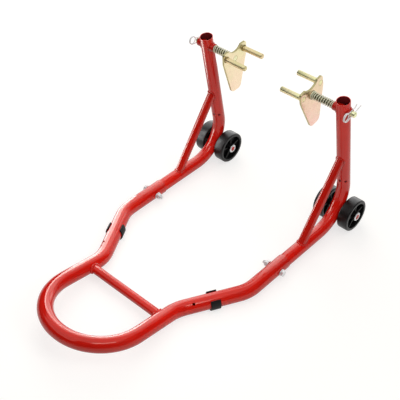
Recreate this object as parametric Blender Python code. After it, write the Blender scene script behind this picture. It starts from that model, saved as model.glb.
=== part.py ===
"""A rear paddock stand of bent steel tube, for holding a motorcycle upright.

Units are metres, +Z is up, +X is the stand's right side and the handle points to -Y.
Lengths along the stand are counted from the open rear end of the handle tube, and the
whole model hangs on one empty that brings the middle of its footprint to the origin.
"""
import math

import bmesh
import bpy
from mathutils import Matrix, Vector

# Clearances
GAP = 0.0003              # left between pieces that touch, slide or turn on each other
GROUND_CLEARANCE = 0.002  # under the level stretch of the handle tube

# Handle tube, bent from one length
HANDLE_OD = 0.0337
HANDLE_WALL = 0.0015
HANDLE_WIDTH = 0.2192     # between the centre lines of its two legs
GRIP_STRAIGHT = 0.002     # between the two bends of the grip
LEG_LENGTH = 0.2142       # grip to inner corner of the jog, along Y
JOG_LENGTH = 0.1376       # inner to outer corner of the jog, along Y
JOG_BEND_R = 0.079
SOCKET_LENGTH = 0.1195    # outer corner of the jog to the open end
GRIP_LIFT = 0.03256       # grip's centre line above the level stretch
DRAIN_HOLE_D = 0.006
DRAIN_HOLE_Y = -0.2265
DRAIN_HOLE_ANGLE = 55.0   # degrees above level, on the outer side

# Crossbar between the legs of the handle
CROSSBAR_OD = 0.020
CROSSBAR_WALL = 0.002
CROSSBAR_SETBACK = 0.1766  # from the grip's centre line

# Arms, which plug into the handle and turn up into the uprights
ARM_SPACING = 0.370       # between the centre lines of the two arms
ARM_WALL = 0.0015
ARM_PLUG = 0.070          # length inside the handle tube
ARM_REACH = 0.2216        # open end of the handle to the corner of the upright
ARM_BEND_R = 0.0819
UPRIGHT_LEAN = 10.97      # degrees towards the handle
UPRIGHT_TOP = 0.3566      # height of the upper rim's centre

# Braces between arm and upright
BRACE_OD = 0.0195
BRACE_WALL = 0.002
BRACE_FOOT_Y = 0.054
BRACE_HEAD_Z = 0.206

# Wheels and their axles, which are welded behind the bends
WHEEL_D = 0.077
WHEEL_WIDTH = 0.026
WHEEL_RIM = 0.0075        # radial thickness of the rim
WHEEL_WEB = 0.006
WHEEL_HUB_WALL = 0.005
WHEEL_HUB_PROUD = 0.0015  # how far the hub stands out of the rim's face
WHEEL_EDGE = 0.0025       # rounding of the tread's edges
WHEEL_RIBS = 5
WHEEL_RIB_WIDTH = 0.005
WHEEL_RIB_INSET = 0.0035  # ribs lie this far below the rim's face
WHEEL_SIDE_GAP = 0.002    # wheel to the side of the arm
RIGHT_INNER_GAP = 0.009   # the same for the wheel inside the right arm
AXLE_BAR_D = 0.013
AXLE_D = 0.011
AXLE_CHAMFER = 0.001
PUSH_NUT_OD = 0.020
PUSH_NUT_THICK = 0.0022
AXLE_END = 0.001          # axle standing out of the push nut

# Clamp bolts through handle and arm
BOLT_SETBACK = 0.030      # from the open end of the handle
BOLT_D = 0.008
BOLT_HEAD_AF = 0.013
BOLT_HEAD_H = 0.0053
NUT_H = 0.0080
WASHER_OD = 0.016
WASHER_THICK = 0.0016
BOLT_END = 0.0055         # thread standing out of the nut

# Rubber feet, C-shaped clips on the jog
LEFT_FOOT_Y = -0.180
RIGHT_FOOT_Y = -0.1865
FOOT_LENGTH = 0.0215
FOOT_LIP = 0.0032         # thickness at the open edges
FOOT_MOUTH = 46.0         # degrees from straight up to each open edge
SOLE_DEPTH = 0.0012       # cut off the round underside to make it flat

# Sprung fork adapters on the uprights
PIVOT_DROP = 0.0238       # shaft's height below the upper rim's centre
SHAFT_D = 0.012
SHAFT_CHAMFER = 0.0012
SHAFT_TAIL = 0.0055       # beyond the clip's straight leg
SLEEVE_WALL = 0.0037
SLEEVE_IN = 0.022         # arm's centre line to the sleeve's inner end
LEFT_SLEEVE_OUT = 0.0245   # arm's centre line to the sleeve's outer end
RIGHT_SLEEVE_OUT = 0.019
SEAT_OD = 0.020
SEAT_THICK = 0.002
SPRING_LENGTH = 0.0525
SPRING_WIRE = 0.0018
SPRING_CURLS = 8          # open curls, between one closed curl at each end
SPRING_CLOSED_GAP = 0.0006
SPRING_POINTS = 9         # points to a curl
SPRING_CLEARANCE = 0.0009
PLATE_THICK = 0.005
PLATE_WIDTH = 0.074
PLATE_HORN = 0.027        # horns' height above the shaft
PLATE_SHOULDER = 0.0      # where the sides start to draw in
PLATE_DROP = 0.085        # tip's depth below the shaft
PLATE_TIP_WIDTH = 0.029
PLATE_HORN_R = 0.006
PLATE_SIDE_R = 0.020
PLATE_TIP_R = 0.011
NOTCH_WIDTH = 0.040
NOTCH_DEPTH = 0.010
PIN_D = 0.012
PIN_LENGTH = 0.0535       # beyond the plate's inner face
PIN_SPACING = 0.057
PIN_RISE = 0.0115         # above the shaft
PIN_CHAMFER = 0.001
LEFT_LEAN = 4.5           # degrees that each adapter stands turned towards the handle
RIGHT_LEAN = 14.0

# Retaining clips of bent wire, through the ends of the shafts
CLIP_WIRE = 0.0020
CLIP_RING_R = 0.0087
CLIP_RING_REACH = 0.020   # shaft to the ring's centre
CLIP_LEG = 0.026          # straight leg beyond the shaft's centre
CLIP_PITCH = 0.0024       # sideways climb of one turn of the ring, to the left
CLIP_TURN = 580.0         # degrees from the straight leg to the bowed one
LEFT_CLIP_TILT = -7.0     # degrees, against the adapter
RIGHT_CLIP_TILT = 6.0

# Facets
TUBE_SIDES = 20
THIN_TUBE_SIDES = 16
ROUND_SIDES = 16
WHEEL_SIDES = 24
BEND_STEP = 11.25         # degrees to a step of a bend

# Sizes that follow from those above
ARM_X = ARM_SPACING / 2
HANDLE_BEND_R = (HANDLE_WIDTH - GRIP_STRAIGHT) / 2
ARM_OD = HANDLE_OD - 2 * HANDLE_WALL - 2 * GAP
TUBE_Z = HANDLE_OD / 2 + GROUND_CLEARANCE
JOG_OUT_Y = -SOCKET_LENGTH
JOG_IN_Y = JOG_OUT_Y - JOG_LENGTH
GRIP_Y = JOG_IN_Y - LEG_LENGTH
CROSSBAR_Y = GRIP_Y + CROSSBAR_SETBACK
GRIP_SLOPE = GRIP_LIFT / LEG_LENGTH
LEAN = math.radians(UPRIGHT_LEAN)
BEND_TURN = math.pi / 2 + LEAN
BEND_Y = ARM_REACH - ARM_BEND_R * math.tan(BEND_TURN / 2)
BEND_Z = TUBE_Z + ARM_BEND_R
AXLE_Z = WHEEL_D / 2
AXLE_TO_BEND = ARM_BEND_R + ARM_OD / 2 + AXLE_BAR_D / 2 + GAP
AXLE_Y = BEND_Y + math.sqrt(AXLE_TO_BEND ** 2 - (BEND_Z - AXLE_Z) ** 2)
WHEEL_IN = {"left_outer": ARM_OD / 2 + WHEEL_SIDE_GAP, "left_inner": ARM_OD / 2 + WHEEL_SIDE_GAP,
            "right_outer": ARM_OD / 2 + WHEEL_SIDE_GAP, "right_inner": ARM_OD / 2 + RIGHT_INNER_GAP}
WHEEL_TO_NUT = WHEEL_WIDTH + WHEEL_HUB_PROUD + GAP
WHEEL_TO_END = WHEEL_TO_NUT + PUSH_NUT_THICK + AXLE_END
MIDDLE_Y = (GRIP_Y - HANDLE_OD / 2 + AXLE_Y + WHEEL_D / 2) / 2
PIVOT_Z = UPRIGHT_TOP - PIVOT_DROP
SLEEVE_ID = SHAFT_D + 2 * GAP
SLEEVE_OD = SLEEVE_ID + 2 * SLEEVE_WALL
PLATE_OUT = SLEEVE_IN + SPRING_LENGTH + SEAT_THICK + 3 * GAP
PLATE_IN = PLATE_OUT + PLATE_THICK
CLIP_CLIMB = CLIP_PITCH * CLIP_TURN / 360
WASHER_ID = BOLT_D + 2 * GAP
LEFT = -1
RIGHT = 1
SIDE_NAMES = {LEFT: "left", RIGHT: "right"}
ADAPTER_LEAN = {LEFT: LEFT_LEAN, RIGHT: RIGHT_LEAN}
CLIP_TILT = {LEFT: LEFT_CLIP_TILT, RIGHT: RIGHT_CLIP_TILT}
SLEEVE_OUT = {LEFT: LEFT_SLEEVE_OUT, RIGHT: RIGHT_SLEEVE_OUT}


def clip_out(side):
    """Distance of a clip's straight leg from the arm's centre line; the bowed leg lies to its left."""
    return SLEEVE_OUT[side] + GAP + CLIP_WIRE / 2 + max(side, 0) * CLIP_CLIMB


def shaft_end(side):
    return clip_out(side) + SHAFT_TAIL


def upright_y(height):
    """Place along the stand of the upright's centre line at a height."""
    return ARM_REACH - (height - TUBE_Z) * math.tan(LEAN)


def handle_z(y):
    """Height of the handle tube's centre line, level as far as the inner corner of the jog."""
    return TUBE_Z + GRIP_SLOPE * max(JOG_IN_Y - y, 0.0)


def jog_x(y):
    """Distance of the jog's centre line from the stand's middle plane."""
    share = (y - JOG_IN_Y) / JOG_LENGTH
    return HANDLE_WIDTH / 2 + share * (ARM_X - HANDLE_WIDTH / 2)


def make_material(name, color, roughness, metallic):
    material = bpy.data.materials.new(name)
    material.use_nodes = True
    shader = material.node_tree.nodes["Principled BSDF"]
    shader.inputs["Base Color"].default_value = (*color, 1.0)
    shader.inputs["Roughness"].default_value = roughness
    shader.inputs["Metallic"].default_value = metallic
    return material


def add_empty(name, location, parent=None):
    empty = bpy.data.objects.new(name, None)
    bpy.context.collection.objects.link(empty)
    empty.parent = parent
    empty.location = location
    return empty


def add_piece(name, data, material, parent, location=(0.0, 0.0, 0.0)):
    piece = bpy.data.objects.new(name, data)
    bpy.context.collection.objects.link(piece)
    data.materials.clear()
    data.materials.append(material)
    piece.parent = parent
    piece.location = location
    return piece


def finish_mesh(name, bm):
    """Turn a bmesh into a mesh with its faces pointing out and its round parts smooth."""
    bmesh.ops.recalc_face_normals(bm, faces=bm.faces)
    mesh = bpy.data.meshes.new(name)
    bm.to_mesh(mesh)
    bm.free()
    mesh.shade_smooth()
    mesh.set_sharp_from_angle(angle=math.radians(35))
    return mesh


def arc_steps(turn):
    return max(2, math.ceil(math.degrees(turn) / BEND_STEP))


def fillet(before, corner, after, radius):
    """Points of the arc that rounds a corner of a path."""
    to_before = (before - corner).normalized()
    to_after = (after - corner).normalized()
    turn = math.pi - to_before.angle(to_after)
    start = corner + to_before * radius * math.tan(turn / 2)
    middle = corner + (to_before + to_after).normalized() * radius / math.cos(turn / 2)
    axis = (-to_before).cross(to_after).normalized()
    steps = arc_steps(turn)
    spoke = start - middle
    return [middle + Matrix.Rotation(turn * k / steps, 3, axis) @ spoke for k in range(steps + 1)]


def bent_path(corners, radii):
    """A run of straight tube and bends through the given corners."""
    path = [corners[0]]
    for k, radius in enumerate(radii, start=1):
        path += fillet(corners[k - 1], corners[k], corners[k + 1], radius)
    return path + [corners[-1]]


def ring_frames(path):
    """Two directions across the path at each of its points, without twist."""
    ahead = [(path[k + 1] - path[k]).normalized() for k in range(len(path) - 1)]
    along = [ahead[0]]
    along += [(ahead[k - 1] + ahead[k]).normalized() for k in range(1, len(ahead))]
    along.append(ahead[-1])
    across = Vector((1.0, 0.0, 0.0))
    if abs(along[0].x) > 0.9:
        across = Vector((0.0, 1.0, 0.0))
    frames = []
    for direction in along:
        across = (across - direction * across.dot(direction)).normalized()
        frames.append((across, direction.cross(across)))
    return frames


def swept_tube(name, path, outer_d, wall, sides):
    """A hollow tube along a path, open at both ends."""
    bm = bmesh.new()
    frames = ring_frames(path)
    walls = []
    for radius in (outer_d / 2, outer_d / 2 - wall):
        rings = []
        for point, (across, other) in zip(path, frames):
            angles = [2 * math.pi * k / sides for k in range(sides)]
            spokes = [across * math.cos(a) + other * math.sin(a) for a in angles]
            rings.append([bm.verts.new(point + spoke * radius) for spoke in spokes])
        walls.append(rings)
        for first, second in zip(rings, rings[1:]):
            add_band(bm, first, second)
    for end in (0, -1):
        add_band(bm, walls[0][end], walls[1][end])
    return finish_mesh(name, bm)


def add_band(bm, first, second):
    """Join two rings of as many points with a band of faces."""
    count = len(first)
    for k in range(count):
        after = (k + 1) % count
        bm.faces.new((first[k], first[after], second[after], second[k]))


def turned(name, profile, sides, closed):
    """A body turned about X from (x, radius) points: a ring if closed, else a solid."""
    bm = bmesh.new()
    rings = []
    for x, radius in profile:
        angles = [2 * math.pi * k / sides for k in range(sides)]
        rings.append([bm.verts.new((x, radius * math.cos(a), radius * math.sin(a))) for a in angles])
    for first, second in zip(rings, rings[1:]):
        add_band(bm, first, second)
    if closed:
        add_band(bm, rings[-1], rings[0])
    else:
        bm.faces.new(rings[0])
        bm.faces.new(rings[-1])
    return finish_mesh(name, bm)


def prism(name, outline, start, end, to_point):
    """A flat shape drawn out from start to end, with each corner placed by to_point."""
    bm = bmesh.new()
    rings = [[bm.verts.new(to_point(u, v, depth)) for u, v in outline] for depth in (start, end)]
    add_band(bm, rings[0], rings[1])
    for ring in rings:
        bm.faces.new(ring)
    return finish_mesh(name, bm)


def along_x(u, v, depth):
    return (depth, u, v)


def along_y(u, v, depth):
    return (u, depth, v)


def circle(radius, sides):
    angles = [2 * math.pi * k / sides for k in range(sides)]
    return [(radius * math.cos(a), radius * math.sin(a)) for a in angles]


def hexagon(across_flats):
    return circle(across_flats / math.sqrt(3), 6)


def arc(middle, radius, first, last, steps):
    """Points of an arc in a plane, from one angle in degrees to another."""
    angles = [math.radians(first + (last - first) * k / steps) for k in range(steps + 1)]
    return [(middle[0] + radius * math.cos(a), middle[1] + radius * math.sin(a)) for a in angles]


def add_tool(name, mesh, parent, location=(0.0, 0.0, 0.0)):
    """A hidden shape that cuts or joins another piece."""
    tool = bpy.data.objects.new(name, mesh)
    bpy.context.collection.objects.link(tool)
    tool.parent = parent
    tool.location = location
    tool.hide_render = True
    tool.display_type = "WIRE"
    return tool


def combine(piece, tool, operation="DIFFERENCE"):
    modifier = piece.modifiers.new(tool.name, "BOOLEAN")
    modifier.operation = operation
    modifier.object = tool
    modifier.solver = "EXACT"


def rod_tool(name, start, end, diameter, parent, sides=ROUND_SIDES):
    """A hidden round bar between two points."""
    start = Vector(start)
    end = Vector(end)
    turn = Vector((1.0, 0.0, 0.0)).rotation_difference(end - start)
    profile = [(0.0, diameter / 2), ((end - start).length, diameter / 2)]
    tool = add_tool(name, turned(name, profile, sides, closed=False), parent, start)
    tool.rotation_mode = "QUATERNION"
    tool.rotation_quaternion = turn
    return tool


def smooth_through(points, steps):
    """A smooth run of points through the given ones."""
    ends = [2 * points[0] - points[1], *points, 2 * points[-1] - points[-2]]
    run = [points[0]]
    for a, b, c, d in zip(ends, ends[1:], ends[2:], ends[3:]):
        for k in range(1, steps + 1):
            t = k / steps
            run.append(0.5 * (2 * b + (c - a) * t + (2 * a - 5 * b + 4 * c - d) * t ** 2
                              + (3 * b - a - 3 * c + d) * t ** 3))
    return run


def wire_curve(name, points, wire_d):
    """A round wire along a run of points, with its ends closed."""
    curve = bpy.data.curves.new(name, "CURVE")
    curve.dimensions = "3D"
    curve.bevel_depth = wire_d / 2
    curve.bevel_resolution = 1
    curve.use_fill_caps = True
    spline = curve.splines.new("POLY")
    spline.points.add(len(points) - 1)
    for knot, point in zip(spline.points, points):
        knot.co = (*point, 1.0)
    spline.use_smooth = True
    return curve


def handle_corners():
    """Corners of the handle tube's centre line, from the left open end to the right one."""
    half = HANDLE_WIDTH / 2
    right = [Vector((half, GRIP_Y, handle_z(GRIP_Y))),
             Vector((half, JOG_IN_Y, handle_z(JOG_IN_Y))),
             Vector((ARM_X, JOG_OUT_Y, handle_z(JOG_OUT_Y))),
             Vector((ARM_X, 0.0, TUBE_Z))]
    left = [Vector((-point.x, point.y, point.z)) for point in reversed(right)]
    return left + right


def build_handle(stand, paint):
    bends = [JOG_BEND_R, JOG_BEND_R, HANDLE_BEND_R]
    path = bent_path(handle_corners(), bends + bends[::-1])
    mesh = swept_tube("handle_tube", path, HANDLE_OD, HANDLE_WALL, TUBE_SIDES)
    handle = add_piece("handle_tube", mesh, paint, stand)
    for side, name in SIDE_NAMES.items():
        combine(handle, bolt_hole_tool(stand, side, f"{name}_handle_bolt_hole", HANDLE_OD))
        axis = Vector((side * jog_x(DRAIN_HOLE_Y), DRAIN_HOLE_Y, TUBE_Z))
        angle = math.radians(DRAIN_HOLE_ANGLE)
        level = Vector((side * JOG_LENGTH, HANDLE_WIDTH / 2 - ARM_X, 0.0)).normalized()
        outward = level * math.cos(angle) + Vector((0.0, 0.0, math.sin(angle)))
        drain = rod_tool(f"{name}_drain_hole", axis, axis + outward * HANDLE_OD, DRAIN_HOLE_D, stand)
        combine(handle, drain)
    return handle


def bolt_hole_tool(stand, side, name, tube_d):
    half = Vector((tube_d, 0.0, 0.0))
    middle = Vector((side * ARM_X, -BOLT_SETBACK, TUBE_Z))
    return rod_tool(name, middle - half, middle + half, WASHER_ID, stand)


def build_crossbar(stand, paint):
    half = HANDLE_WIDTH / 2
    height = handle_z(CROSSBAR_Y)
    ends = [Vector((-half, CROSSBAR_Y, height)), Vector((half, CROSSBAR_Y, height))]
    mesh = swept_tube("handle_crossbar", ends, CROSSBAR_OD, CROSSBAR_WALL, THIN_TUBE_SIDES)
    bar = add_piece("handle_crossbar", mesh, paint, stand)
    for side, name in SIDE_NAMES.items():
        leg = [Vector((side * half, y, handle_z(y)))
               for y in (CROSSBAR_Y - 2 * CROSSBAR_OD, CROSSBAR_Y + 2 * CROSSBAR_OD)]
        cope = rod_tool(f"{name}_crossbar_cope", *leg, HANDLE_OD + 2 * GAP, stand, 2 * TUBE_SIDES)
        combine(bar, cope)
    return bar


def build_arm(stand, paint, side):
    name = SIDE_NAMES[side]
    x = side * ARM_X
    corners = [Vector((x, -ARM_PLUG, TUBE_Z)),
               Vector((x, ARM_REACH, TUBE_Z)),
               Vector((x, upright_y(UPRIGHT_TOP), UPRIGHT_TOP))]
    path = bent_path(corners, [ARM_BEND_R])
    mesh = swept_tube(f"{name}_arm_tube", path, ARM_OD, ARM_WALL, TUBE_SIDES)
    arm = add_piece(f"{name}_arm_tube", mesh, paint, stand)
    combine(arm, bolt_hole_tool(stand, side, f"{name}_arm_bolt_hole", ARM_OD))
    middle = Vector((x, upright_y(PIVOT_Z), PIVOT_Z))
    half = Vector((ARM_OD, 0.0, 0.0))
    cross = rod_tool(f"{name}_sleeve_hole", middle - half, middle + half, SLEEVE_OD + 2 * GAP, stand,
                     2 * ROUND_SIDES)
    combine(arm, cross)
    return arm


def build_brace(stand, paint, side):
    name = SIDE_NAMES[side]
    x = side * ARM_X
    foot = Vector((x, BRACE_FOOT_Y, TUBE_Z))
    head = Vector((x, upright_y(BRACE_HEAD_Z), BRACE_HEAD_Z))
    mesh = swept_tube(f"{name}_brace", [foot, head], BRACE_OD, BRACE_WALL, THIN_TUBE_SIDES)
    brace = add_piece(f"{name}_brace", mesh, paint, stand)
    reach = 2 * BRACE_OD
    along_arm = Vector((0.0, reach, 0.0))
    along_upright = Vector((0.0, -math.sin(LEAN), math.cos(LEAN))) * reach
    for end, middle, run in (("foot", foot, along_arm), ("head", head, along_upright)):
        cope = rod_tool(f"{name}_brace_{end}_cope", middle - run, middle + run, ARM_OD + 2 * GAP, stand,
                        2 * TUBE_SIDES)
        combine(brace, cope)
    return brace


def build_axle(stand, paint, side):
    """A turned bar behind the bend, with a thinner seat for a wheel at each end."""
    name = SIDE_NAMES[side]
    ends = {}
    for outward, place in ((side, "outer"), (-side, "inner")):
        bar = WHEEL_IN[f"{name}_{place}"] - GAP
        tip = bar + GAP + WHEEL_TO_END
        ends[outward] = [(bar, AXLE_BAR_D / 2), (bar, AXLE_D / 2), (tip - AXLE_CHAMFER, AXLE_D / 2),
                         (tip, AXLE_D / 2 - AXLE_CHAMFER)]
    left_half = [(-x, radius) for x, radius in reversed(ends[-1])]
    mesh = turned(f"{name}_axle", left_half + ends[1], ROUND_SIDES, closed=False)
    return add_piece(f"{name}_axle", mesh, paint, stand, (side * ARM_X, AXLE_Y, AXLE_Z))


def wheel_mesh():
    half = WHEEL_WIDTH / 2
    tread = WHEEL_D / 2
    rim = tread - WHEEL_RIM
    bore = AXLE_D / 2 + GAP
    hub = bore + WHEEL_HUB_WALL
    web = WHEEL_WEB / 2
    profile = [(half + WHEEL_HUB_PROUD, bore), (half + WHEEL_HUB_PROUD, hub), (web, hub),
               (web, rim), (half, rim), (half, tread - WHEEL_EDGE), (half - WHEEL_EDGE, tread),
               (WHEEL_EDGE - half, tread), (-half, tread - WHEEL_EDGE), (-half, rim), (-web, rim),
               (-web, hub), (-half, hub), (-half, bore)]
    return turned("wheel", profile, WHEEL_SIDES, closed=True)


def wheel_ribs_mesh():
    """Radial ribs that run through the web, from inside the hub's wall into the rim."""
    inner = AXLE_D / 2 + GAP + WHEEL_HUB_WALL / 2
    outer = WHEEL_D / 2 - WHEEL_RIM / 2
    depth = WHEEL_WIDTH / 2 - WHEEL_RIB_INSET
    half = WHEEL_RIB_WIDTH / 2
    bm = bmesh.new()
    for k in range(WHEEL_RIBS):
        turn = Matrix.Rotation(2 * math.pi * k / WHEEL_RIBS, 4, "X")
        box = Matrix.Translation((0.0, 0.0, (inner + outer) / 2))
        size = Matrix.Diagonal((2 * depth, 2 * half, outer - inner, 1.0))
        bmesh.ops.create_cube(bm, size=1.0, matrix=turn @ box @ size)
    return finish_mesh("wheel_ribs", bm)


def build_wheels(stand, plastic, zinc):
    """A wheel and its push nut inside and outside each arm."""
    mesh = wheel_mesh()
    ribs_mesh = wheel_ribs_mesh()
    nut_profile = [(0.0, AXLE_D / 2 + GAP), (0.0, PUSH_NUT_OD / 2),
                   (PUSH_NUT_THICK / 2, PUSH_NUT_OD / 2), (PUSH_NUT_THICK, AXLE_D / 2 + 2 * GAP)]
    nut_mesh = turned("push_nut", nut_profile, ROUND_SIDES, closed=True)
    for side, side_name in SIDE_NAMES.items():
        for outward, place in ((side, "outer"), (-side, "inner")):
            name = f"{side_name}_{place}"
            half_turn = 0.0 if outward > 0 else math.pi
            x = side * ARM_X + outward * (WHEEL_IN[name] + WHEEL_WIDTH / 2)
            wheel = add_piece(f"{name}_wheel", mesh, plastic, stand, (x, AXLE_Y, AXLE_Z))
            ribs = add_tool(f"{name}_wheel_ribs", ribs_mesh, stand, (x, AXLE_Y, AXLE_Z))
            combine(wheel, ribs, "UNION")
            x = side * ARM_X + outward * (WHEEL_IN[name] + WHEEL_TO_NUT)
            nut = add_piece(f"{name}_push_nut", nut_mesh, zinc, stand, (x, AXLE_Y, AXLE_Z))
            for piece in (wheel, ribs, nut):
                piece.rotation_euler = (0.0, 0.0, half_turn)


def build_clamp(stand, zinc, side):
    """The bolt that holds an arm in the handle, with its nut and two washers."""
    name = SIDE_NAMES[side]
    half_turn = (0.0, 0.0, 0.0 if side > 0 else math.pi)
    origin = (side * ARM_X, -BOLT_SETBACK, TUBE_Z)
    washer_in = HANDLE_OD / 2 + GAP
    washer_out = washer_in + WASHER_THICK
    seat = washer_out + GAP
    nut_out = seat + NUT_H
    profile = [(-nut_out - BOLT_END, BOLT_D / 2), (seat + BOLT_HEAD_H / 2, BOLT_D / 2)]
    bolt = add_piece(f"{name}_clamp_bolt", turned(f"{name}_clamp_bolt", profile, ROUND_SIDES, closed=False),
                     zinc, stand, origin)
    head_mesh = prism(f"{name}_bolt_head", hexagon(BOLT_HEAD_AF), seat, seat + BOLT_HEAD_H, along_x)
    head = add_tool(f"{name}_bolt_head", head_mesh, stand, origin)
    combine(bolt, head, "UNION")
    nut_mesh = prism(f"{name}_clamp_nut", hexagon(BOLT_HEAD_AF), -nut_out, -seat, along_x)
    nut = add_piece(f"{name}_clamp_nut", nut_mesh, zinc, stand, origin)
    combine(nut, bolt_hole_tool(stand, side, f"{name}_nut_hole", HANDLE_OD))
    pieces = [bolt, head, nut]
    for place, start, end in (("head", washer_in, washer_out), ("nut", -washer_out, -washer_in)):
        ring = [(start, WASHER_ID / 2), (start, WASHER_OD / 2), (end, WASHER_OD / 2), (end, WASHER_ID / 2)]
        mesh = turned(f"{name}_{place}_washer", ring, ROUND_SIDES, closed=True)
        pieces.append(add_piece(f"{name}_{place}_washer", mesh, zinc, stand, origin))
    for piece in pieces:
        piece.rotation_euler = half_turn


def foot_outline():
    """Cross-section of a rubber foot, thicker below and open above, about the tube's centre."""
    inner = HANDLE_OD / 2 + GAP
    below = TUBE_Z + SOLE_DEPTH
    lip = inner + FOOT_LIP
    shift = (below - lip) / (1 + math.cos(math.radians(FOOT_MOUTH)))
    first = 90 + FOOT_MOUTH
    last = 450 - FOOT_MOUTH
    steps = 18
    return (arc((0.0, 0.0), inner, first, last, steps)
            + arc((0.0, -shift), below - shift, last, first, steps))


def build_foot(stand, rubber, side):
    name = SIDE_NAMES[side]
    y = LEFT_FOOT_Y if side == LEFT else RIGHT_FOOT_Y
    middle = Vector((side * jog_x(y), y, TUBE_Z))
    half = FOOT_LENGTH / 2
    mesh = prism(f"{name}_foot", foot_outline(), -half, half, along_y)
    foot = add_piece(f"{name}_foot", mesh, rubber, stand, middle)
    foot.rotation_euler = (0.0, 0.0, -side * math.atan2(ARM_X - HANDLE_WIDTH / 2, JOG_LENGTH))
    square = [(-FOOT_LENGTH, -FOOT_LENGTH), (FOOT_LENGTH, -FOOT_LENGTH),
              (FOOT_LENGTH, FOOT_LENGTH), (-FOOT_LENGTH, FOOT_LENGTH)]
    floor_mesh = prism(f"{name}_foot_floor", square, -HANDLE_OD, 0.0, lambda u, v, depth: (u, v, depth))
    floor = add_tool(f"{name}_foot_floor", floor_mesh, stand, (middle.x, middle.y, 0.0))
    combine(foot, floor)
    return foot


def plate_outline():
    """Shield with a round notch between two horns, drawn about the shaft's centre."""
    half = PLATE_WIDTH / 2
    tip = PLATE_TIP_WIDTH / 2
    right = [((half, PLATE_HORN), PLATE_HORN_R), ((half, PLATE_SHOULDER), PLATE_SIDE_R),
             ((tip, -PLATE_DROP), PLATE_TIP_R)]
    left = [((-x, z), radius) for (x, z), radius in reversed(right)]
    notch_r = (NOTCH_WIDTH ** 2 / 4 + NOTCH_DEPTH ** 2) / (2 * NOTCH_DEPTH)
    spread = math.degrees(math.asin(NOTCH_WIDTH / 2 / notch_r))
    middle = (0.0, PLATE_HORN - NOTCH_DEPTH + notch_r)
    notch = arc(middle, notch_r, 270 - spread, 270 + spread, 8)
    outline = list(notch)
    corners = [(notch[-1], 0.0), *right, *left, (notch[0], 0.0)]
    for (before, _), (corner, radius), (after, _) in zip(corners, corners[1:], corners[2:]):
        points = fillet(*(Vector((*point, 0.0)) for point in (before, corner, after)), radius)
        outline += [(point.x, point.y) for point in points]
    return outline


def build_adapter(stand, gold, clip_zinc, spring_zinc, side):
    """Fork plate, its two pins and its shaft, turned on the pivot, with spring, seat and clip."""
    name = SIDE_NAMES[side]
    x = side * ARM_X
    place = (x, upright_y(PIVOT_Z), PIVOT_Z)
    pivot = add_empty(f"{name}_pivot", place, stand)
    pivot.rotation_euler = (math.radians(ADAPTER_LEAN[side]), 0.0, 0.0)

    plate_mesh = prism(f"{name}_fork_plate", plate_outline(), -side * PLATE_IN, -side * PLATE_OUT, along_x)
    plate = add_piece(f"{name}_fork_plate", plate_mesh, gold, pivot)
    bore = rod_tool(f"{name}_plate_bore", (-side * (PLATE_IN + PLATE_THICK), 0.0, 0.0), (0.0, 0.0, 0.0),
                    SLEEVE_ID, pivot)
    combine(plate, bore)
    for end, y in (("front", -PIN_SPACING / 2), ("back", PIN_SPACING / 2)):
        tip = PLATE_IN + PIN_LENGTH
        profile = [(PLATE_OUT, PIN_D / 2), (tip - PIN_CHAMFER, PIN_D / 2), (tip, PIN_D / 2 - PIN_CHAMFER)]
        profile = [(-side * depth, radius) for depth, radius in profile]
        pin_mesh = turned(f"{name}_{end}_pin", profile, ROUND_SIDES, closed=False)
        add_piece(f"{name}_{end}_pin", pin_mesh, gold, pivot, (0.0, y, PIN_RISE))
        hole = rod_tool(f"{name}_{end}_pin_hole", (-side * (PLATE_IN + PLATE_THICK), y, PIN_RISE),
                        (0.0, y, PIN_RISE), PIN_D + 2 * GAP, pivot)
        combine(plate, hole)

    end = shaft_end(side)
    profile = [(-PLATE_IN, SHAFT_D / 2), (end - SHAFT_CHAMFER, SHAFT_D / 2),
               (end, SHAFT_D / 2 - SHAFT_CHAMFER)]
    profile = [(side * depth, radius) for depth, radius in profile]
    shaft_mesh = turned(f"{name}_shaft", profile, ROUND_SIDES, closed=False)
    shaft = add_piece(f"{name}_shaft", shaft_mesh, gold, pivot)
    tilt = math.radians(CLIP_TILT[side])
    run = Vector((0.0, math.cos(tilt), math.sin(tilt))) * SHAFT_D
    middle = Vector((side * clip_out(side), 0.0, 0.0))
    combine(shaft, rod_tool(f"{name}_clip_hole", middle - run, middle + run, CLIP_WIRE + 2 * GAP, pivot))

    clip_curve = wire_curve(f"{name}_r_clip", clip_points(side), CLIP_WIRE)
    clip = add_piece(f"{name}_r_clip", clip_curve, clip_zinc, pivot)
    clip.rotation_euler = (tilt, 0.0, 0.0)

    seat_in = SLEEVE_IN + SPRING_LENGTH + 2 * GAP
    ring = [(seat_in, SLEEVE_ID / 2), (seat_in, SEAT_OD / 2),
            (seat_in + SEAT_THICK, SEAT_OD / 2), (seat_in + SEAT_THICK, SLEEVE_ID / 2)]
    ring = [(-side * depth, radius) for depth, radius in ring]
    add_piece(f"{name}_spring_seat", turned(f"{name}_spring_seat", ring, ROUND_SIDES, closed=True),
              spring_zinc, stand, place)
    add_piece(f"{name}_spring", wire_curve(f"{name}_spring", spring_points(side), SPRING_WIRE),
              spring_zinc, stand, place)


def build_sleeve(stand, paint, side):
    name = SIDE_NAMES[side]
    ring = [(-SLEEVE_IN, SLEEVE_ID / 2), (-SLEEVE_IN, SLEEVE_OD / 2),
            (SLEEVE_OUT[side], SLEEVE_OD / 2), (SLEEVE_OUT[side], SLEEVE_ID / 2)]
    ring = [(side * depth, radius) for depth, radius in ring]
    mesh = turned(f"{name}_pivot_sleeve", ring, ROUND_SIDES, closed=True)
    place = (side * ARM_X, upright_y(PIVOT_Z), PIVOT_Z)
    return add_piece(f"{name}_pivot_sleeve", mesh, paint, stand, place)


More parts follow.
